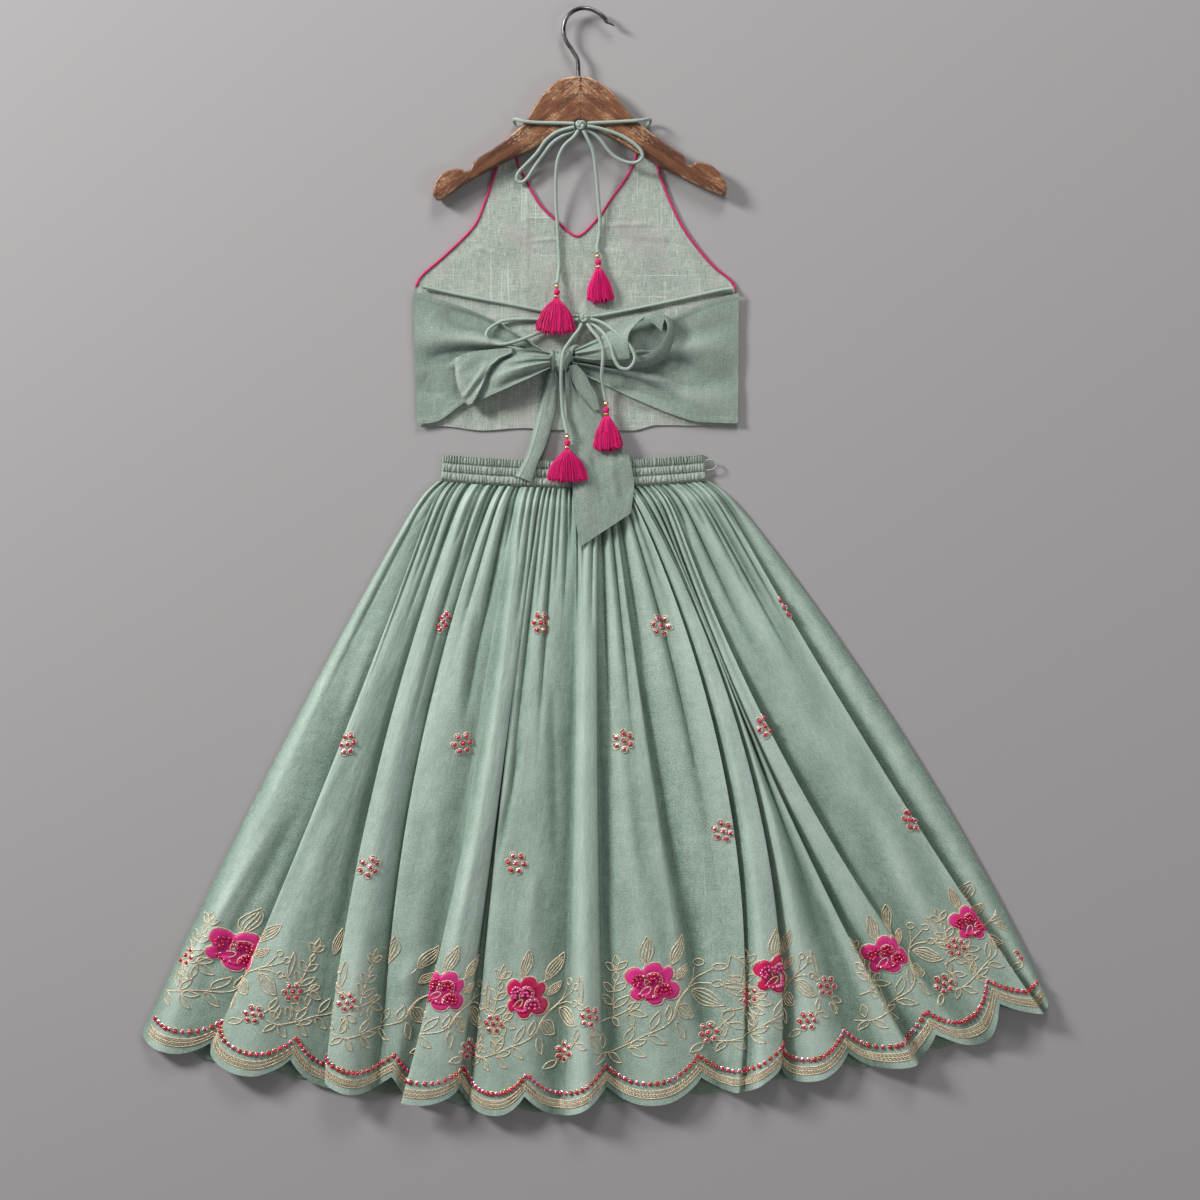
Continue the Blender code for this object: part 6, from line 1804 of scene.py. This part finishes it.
@dataclass
class Tassel:
    """Gold bead, wound bead, gold ring and a tassel of fine threads along one heading."""

    name: str
    start: Array
    heading: float
    rise: float
    length: float
    half_width: float
    strands: int = 430

    def build(self) -> list[bpy.types.Object]:
        """The four pieces from the cord outwards."""
        turn, tilt = math.radians(self.heading), math.radians(self.rise)
        way = np.array((math.cos(turn) * math.cos(tilt), math.sin(turn) * math.cos(tilt), math.sin(tilt)))
        bead_at = SEAM + GOLD_BEAD_RADIUS
        wrapped_at = bead_at + GOLD_BEAD_RADIUS + SEAM + WRAPPED_BEAD_RADIUS
        ring_at = wrapped_at + WRAPPED_BEAD_RADIUS + SEAM + RING_HALF_THICK
        head_at = ring_at + RING_HALF_THICK + SEAM + TASSEL_HEAD_RADIUS
        bead = ball(self.start + way * bead_at, way, GOLD_BEAD_RADIUS, 24, 17)
        wound = ball(self.start + way * wrapped_at, way, WRAPPED_BEAD_RADIUS, 24, 49, 1.0, 8.0, 0.45)
        angles = np.linspace(0.0, math.tau, 29)
        side = unit(np.cross(way, (0.0, 0.0, 1.0)))
        top = np.cross(side, way)
        loop = (self.start + way * ring_at + (side * np.cos(angles)[:, None] + top * np.sin(angles)[:, None])
                * (RING_RADIUS - 0.9))
        ring = sweep(loop, 1.05, 10)
        core = ball(self.start + way * ring_at, way, 3.1, 20, 13, 0.72)
        threads = self.threads(self.start + way * head_at, way, side, top)
        parts = (("gold_bead", "round", bead, GOLD, "gold"),
                 ("wrapped_bead", "wound", wound, PINK_SILK, "pink_thread"),
                 ("gold_ring", "ring", joined((ring, core)), GOLD, "gold"),
                 ("tassel", "threads", threads, PINK_SILK, "pink_thread"))
        return [fit(f"{node}_{self.name}_{form}", patch, (finish,), slot, f"{node}_{self.name}", crisp=180.0)
                for node, form, patch, finish, slot in parts]

    def threads(self, head: Array, way: Array, side: Array, top: Array) -> Patch:
        """Threads from the ring over the rounded head to uneven cut ends."""
        chance = np.random.default_rng(sum(map(ord, self.name)))
        around = chance.uniform(0.0, math.tau, self.strands)
        out = chance.uniform(0.0, 1.0, self.strands) ** 0.38
        across, up = out * np.cos(around), out * np.sin(around)
        stops = np.array((-4.1, -3.0, -0.5, 4.0, 0.4 * self.length, 0.7 * self.length, self.length))
        spread = np.array((0.8, 2.9, 4.6, 0.48 * self.half_width, 0.74 * self.half_width, 0.90 * self.half_width,
                           self.half_width))
        depth = np.array((0.8, 2.8, 4.0, 4.1, 4.1, 4.0, 3.8))
        ends = 1.0 + 0.06 * chance.normal(0.0, 1.0, self.strands) - 0.10 * np.abs(across) ** 2
        wander = chance.normal(0.0, 0.34, (self.strands, len(stops), 2)) * np.linspace(0.0, 1.2, len(stops))[:, None]
        reach = np.where(stops[None] > 4.0, 4.0 + (stops[None] - 4.0) * ends[:, None], stops[None])
        b = across[:, None] * spread + wander[..., 0]
        c = up[:, None] * depth + 0.5 * wander[..., 1]
        paths = head + reach[..., None] * way + b[..., None] * side + c[..., None] * top
        paths[..., 2] = np.maximum(paths[..., 2], 0.8)
        return strands_patch(paths, 0.52, 3, np.clip(chance.normal(0.52, 0.26, self.strands), 0.0, 1.0))


def strands_patch(paths: Array, radius: float, sides: int, tones: Array) -> Patch:
    """Many threads at once: circles across each path, open ends hidden by their smallness.

    Args:
        paths: threads by stations by 3.
        radius: of every thread.
        sides: of each circle.
        tones: one for each thread.

    Returns:
        All threads as one patch.
    """
    count, stations = paths.shape[:2]
    along = unit(np.gradient(paths, axis=1))
    side = unit(np.cross(along, np.array((0.05, 0.02, 1.0))))
    top = np.cross(side, along)
    angles = np.linspace(0.0, math.tau, sides, endpoint=False) + math.pi / 2.0
    circle = (side[:, :, None] * np.cos(angles)[:, None] + top[:, :, None] * np.sin(angles)[:, None]) * radius
    points = (paths[:, :, None] + circle).reshape(-1, 3)
    quads = grid_quads(stations, sides, 0, True)
    steps = np.arange(count)[:, None, None] * (stations * sides)
    travelled = np.concatenate((np.zeros((count, 1)),
                                np.cumsum(np.linalg.norm(np.diff(paths, axis=1), axis=2), axis=1)), axis=1)
    around = angles * radius * MM + np.arange(count)[:, None, None] * 0.0137
    uv = np.stack(np.broadcast_arrays(around, travelled[:, :, None] * MM), axis=-1).reshape(-1, 2)
    patch = Patch(points, [(quads[None] + steps).reshape(-1, 4)], uv, np.repeat(tones, stations * sides))
    return patch.outward()


@dataclass
class Hanger:
    """Worn wooden hanger with notched ends, and its wire hook."""

    def outline(self) -> Array:
        """Outline of the wood with every corner cut twice, so that it runs round."""
        corners = np.array(HANGER_TOP + HANGER_BOTTOM)
        for share in (0.2, 0.26):
            after = np.roll(corners, -1, axis=0)
            corners = np.stack((corners + (after - corners) * share, after - (after - corners) * share),
                               axis=1).reshape(-1, 2)
        return corners

    def build(self) -> None:
        """Wood as rings of its outline, drawn in and rounded at both faces, and the hook."""
        line = self.outline()
        along = unit(np.roll(line, -1, axis=0) - np.roll(line, 1, axis=0))
        inward = np.stack((along[:, 1], -along[:, 0]), axis=1)
        area = 0.5 * float(np.sum(line[:, 0] * np.roll(line[:, 1], -1) - line[:, 1] * np.roll(line[:, 0], -1)))
        inward = inward if area < 0.0 else -inward
        rings = [np.hstack((line + inward * inset, np.full((len(line), 1), HANGER_FLOOR + height)))
                 for inset, height, _ in HANGER_ROUNDING]
        points = np.concatenate(rings)
        count = len(line)
        wear = np.repeat([row[2] for row in HANGER_ROUNDING], count)
        first = np.arange(count)[None]
        last = first[:, ::-1] + (len(rings) - 1) * count
        faces = [grid_quads(len(rings), count, 0, True), first, last]
        wood = Patch(points, faces, points[:, :2] * MM, wear).outward()
        fit("hanger_wood_worn", wood, (WOOD,), "brown_wood", "hanger_wood", crisp=50.0)
        middle = HANGER_FLOOR + 0.5 * HANGER_THICK
        route = smooth_curve([(x, y, middle) for x, y in HOOK_ROUTE], 90)
        hook = sweep(route, HOOK_RADIUS * np.interp(np.arange(90), (0, 82, 86, 89), (1.0, 1.0, 0.8, 0.7)), 16)
        fit("hanger_hook_wire", hook, (STEEL,), "dark_steel", "hanger_hook")


def build_waist_loop() -> None:
    """Thread loop at the right end of the band."""
    route = smooth_curve([(x, y, LOOP_HEIGHT) for x, y in LOOP_ROUTE], 41)
    fit("waist_loop_thread", sweep(route, LOOP_RADIUS, 8), (CORD,), "sage_cord", "waist_loop")


@dataclass
class Studio:
    """Pale floor, soft light from the upper left and the camera straight above."""

    centre: tuple[float, float] = (0.0051, -0.0383)
    width: float = 1.224
    distance: float = 3.0
    cloth_height: float = 0.008
    sensor: float = 36.0

    def build(self) -> None:
        """Camera, lights, world and floor."""
        camera = bpy.data.objects.new("camera", bpy.data.cameras.new("camera"))
        camera.data.sensor_width = self.sensor
        camera.data.lens = self.sensor * (self.distance - self.cloth_height) / self.width
        camera.location = (*self.centre, self.distance)
        bpy.context.scene.collection.objects.link(camera)
        bpy.context.scene.camera = camera
        for name, place, aim, size, power in (
                ("key", (-2.75, 1.85, 1.55), (0.0, 0.0, 0.0), 0.8, 146.0),
                ("top", (0.30, 2.60, 1.60), (0.0, 0.1, 0.0), 1.0, 38.0),
                ("fill", (2.70, -0.90, 2.30), (0.5, -0.2, 0.0), 1.2, 20.0)):
            light = bpy.data.objects.new(name, bpy.data.lights.new(name, "AREA"))
            light.data.energy = power
            light.data.size = size
            light.location = place
            way = Vector(aim) - Vector(place)
            light.rotation_euler = way.to_track_quat("-Z", "Y").to_euler()
            bpy.context.scene.collection.objects.link(light)
        world = bpy.data.worlds.new("studio")
        world.use_nodes = True
        world.node_tree.nodes["Background"].inputs["Color"].default_value = (0.96, 0.98, 1.0, 1.0)
        world.node_tree.nodes["Background"].inputs["Strength"].default_value = 0.19
        bpy.context.scene.world = world
        bpy.context.scene.view_settings.view_transform = "Standard"
        corners = np.array(((-4e3, -4e3, -0.3), (4e3, -4e3, -0.3), (4e3, 4e3, -0.3), (-4e3, 4e3, -0.3)))
        floor = make_object("floor", Patch(corners, [np.array(((0, 1, 2, 3),))], corners[:, :2] * MM,
                                           np.full(4, 0.5)), (PAPER,))


def main() -> None:
    """Build the studio, then every part of the garment and its hanger."""
    logging.basicConfig(level=logging.INFO, format="%(name)s: %(message)s")
    Studio().build()
    tassels = {name: Tassel(name, np.array((x, y, z)), heading, rise, length, half_width).build()
               for name, x, y, z, heading, rise, length, half_width in TASSELS}
    CordBows(tassels).build()
    skirt = PleatedSkirt()
    LowerSkirt().build()
    skirt.build(Embroidery(skirt).build())
    GatheredBand().build()
    build_waist_loop()
    Blouse().build()
    SashBow().build()
    Hanger().build()


if __name__ == "__main__":
    main()
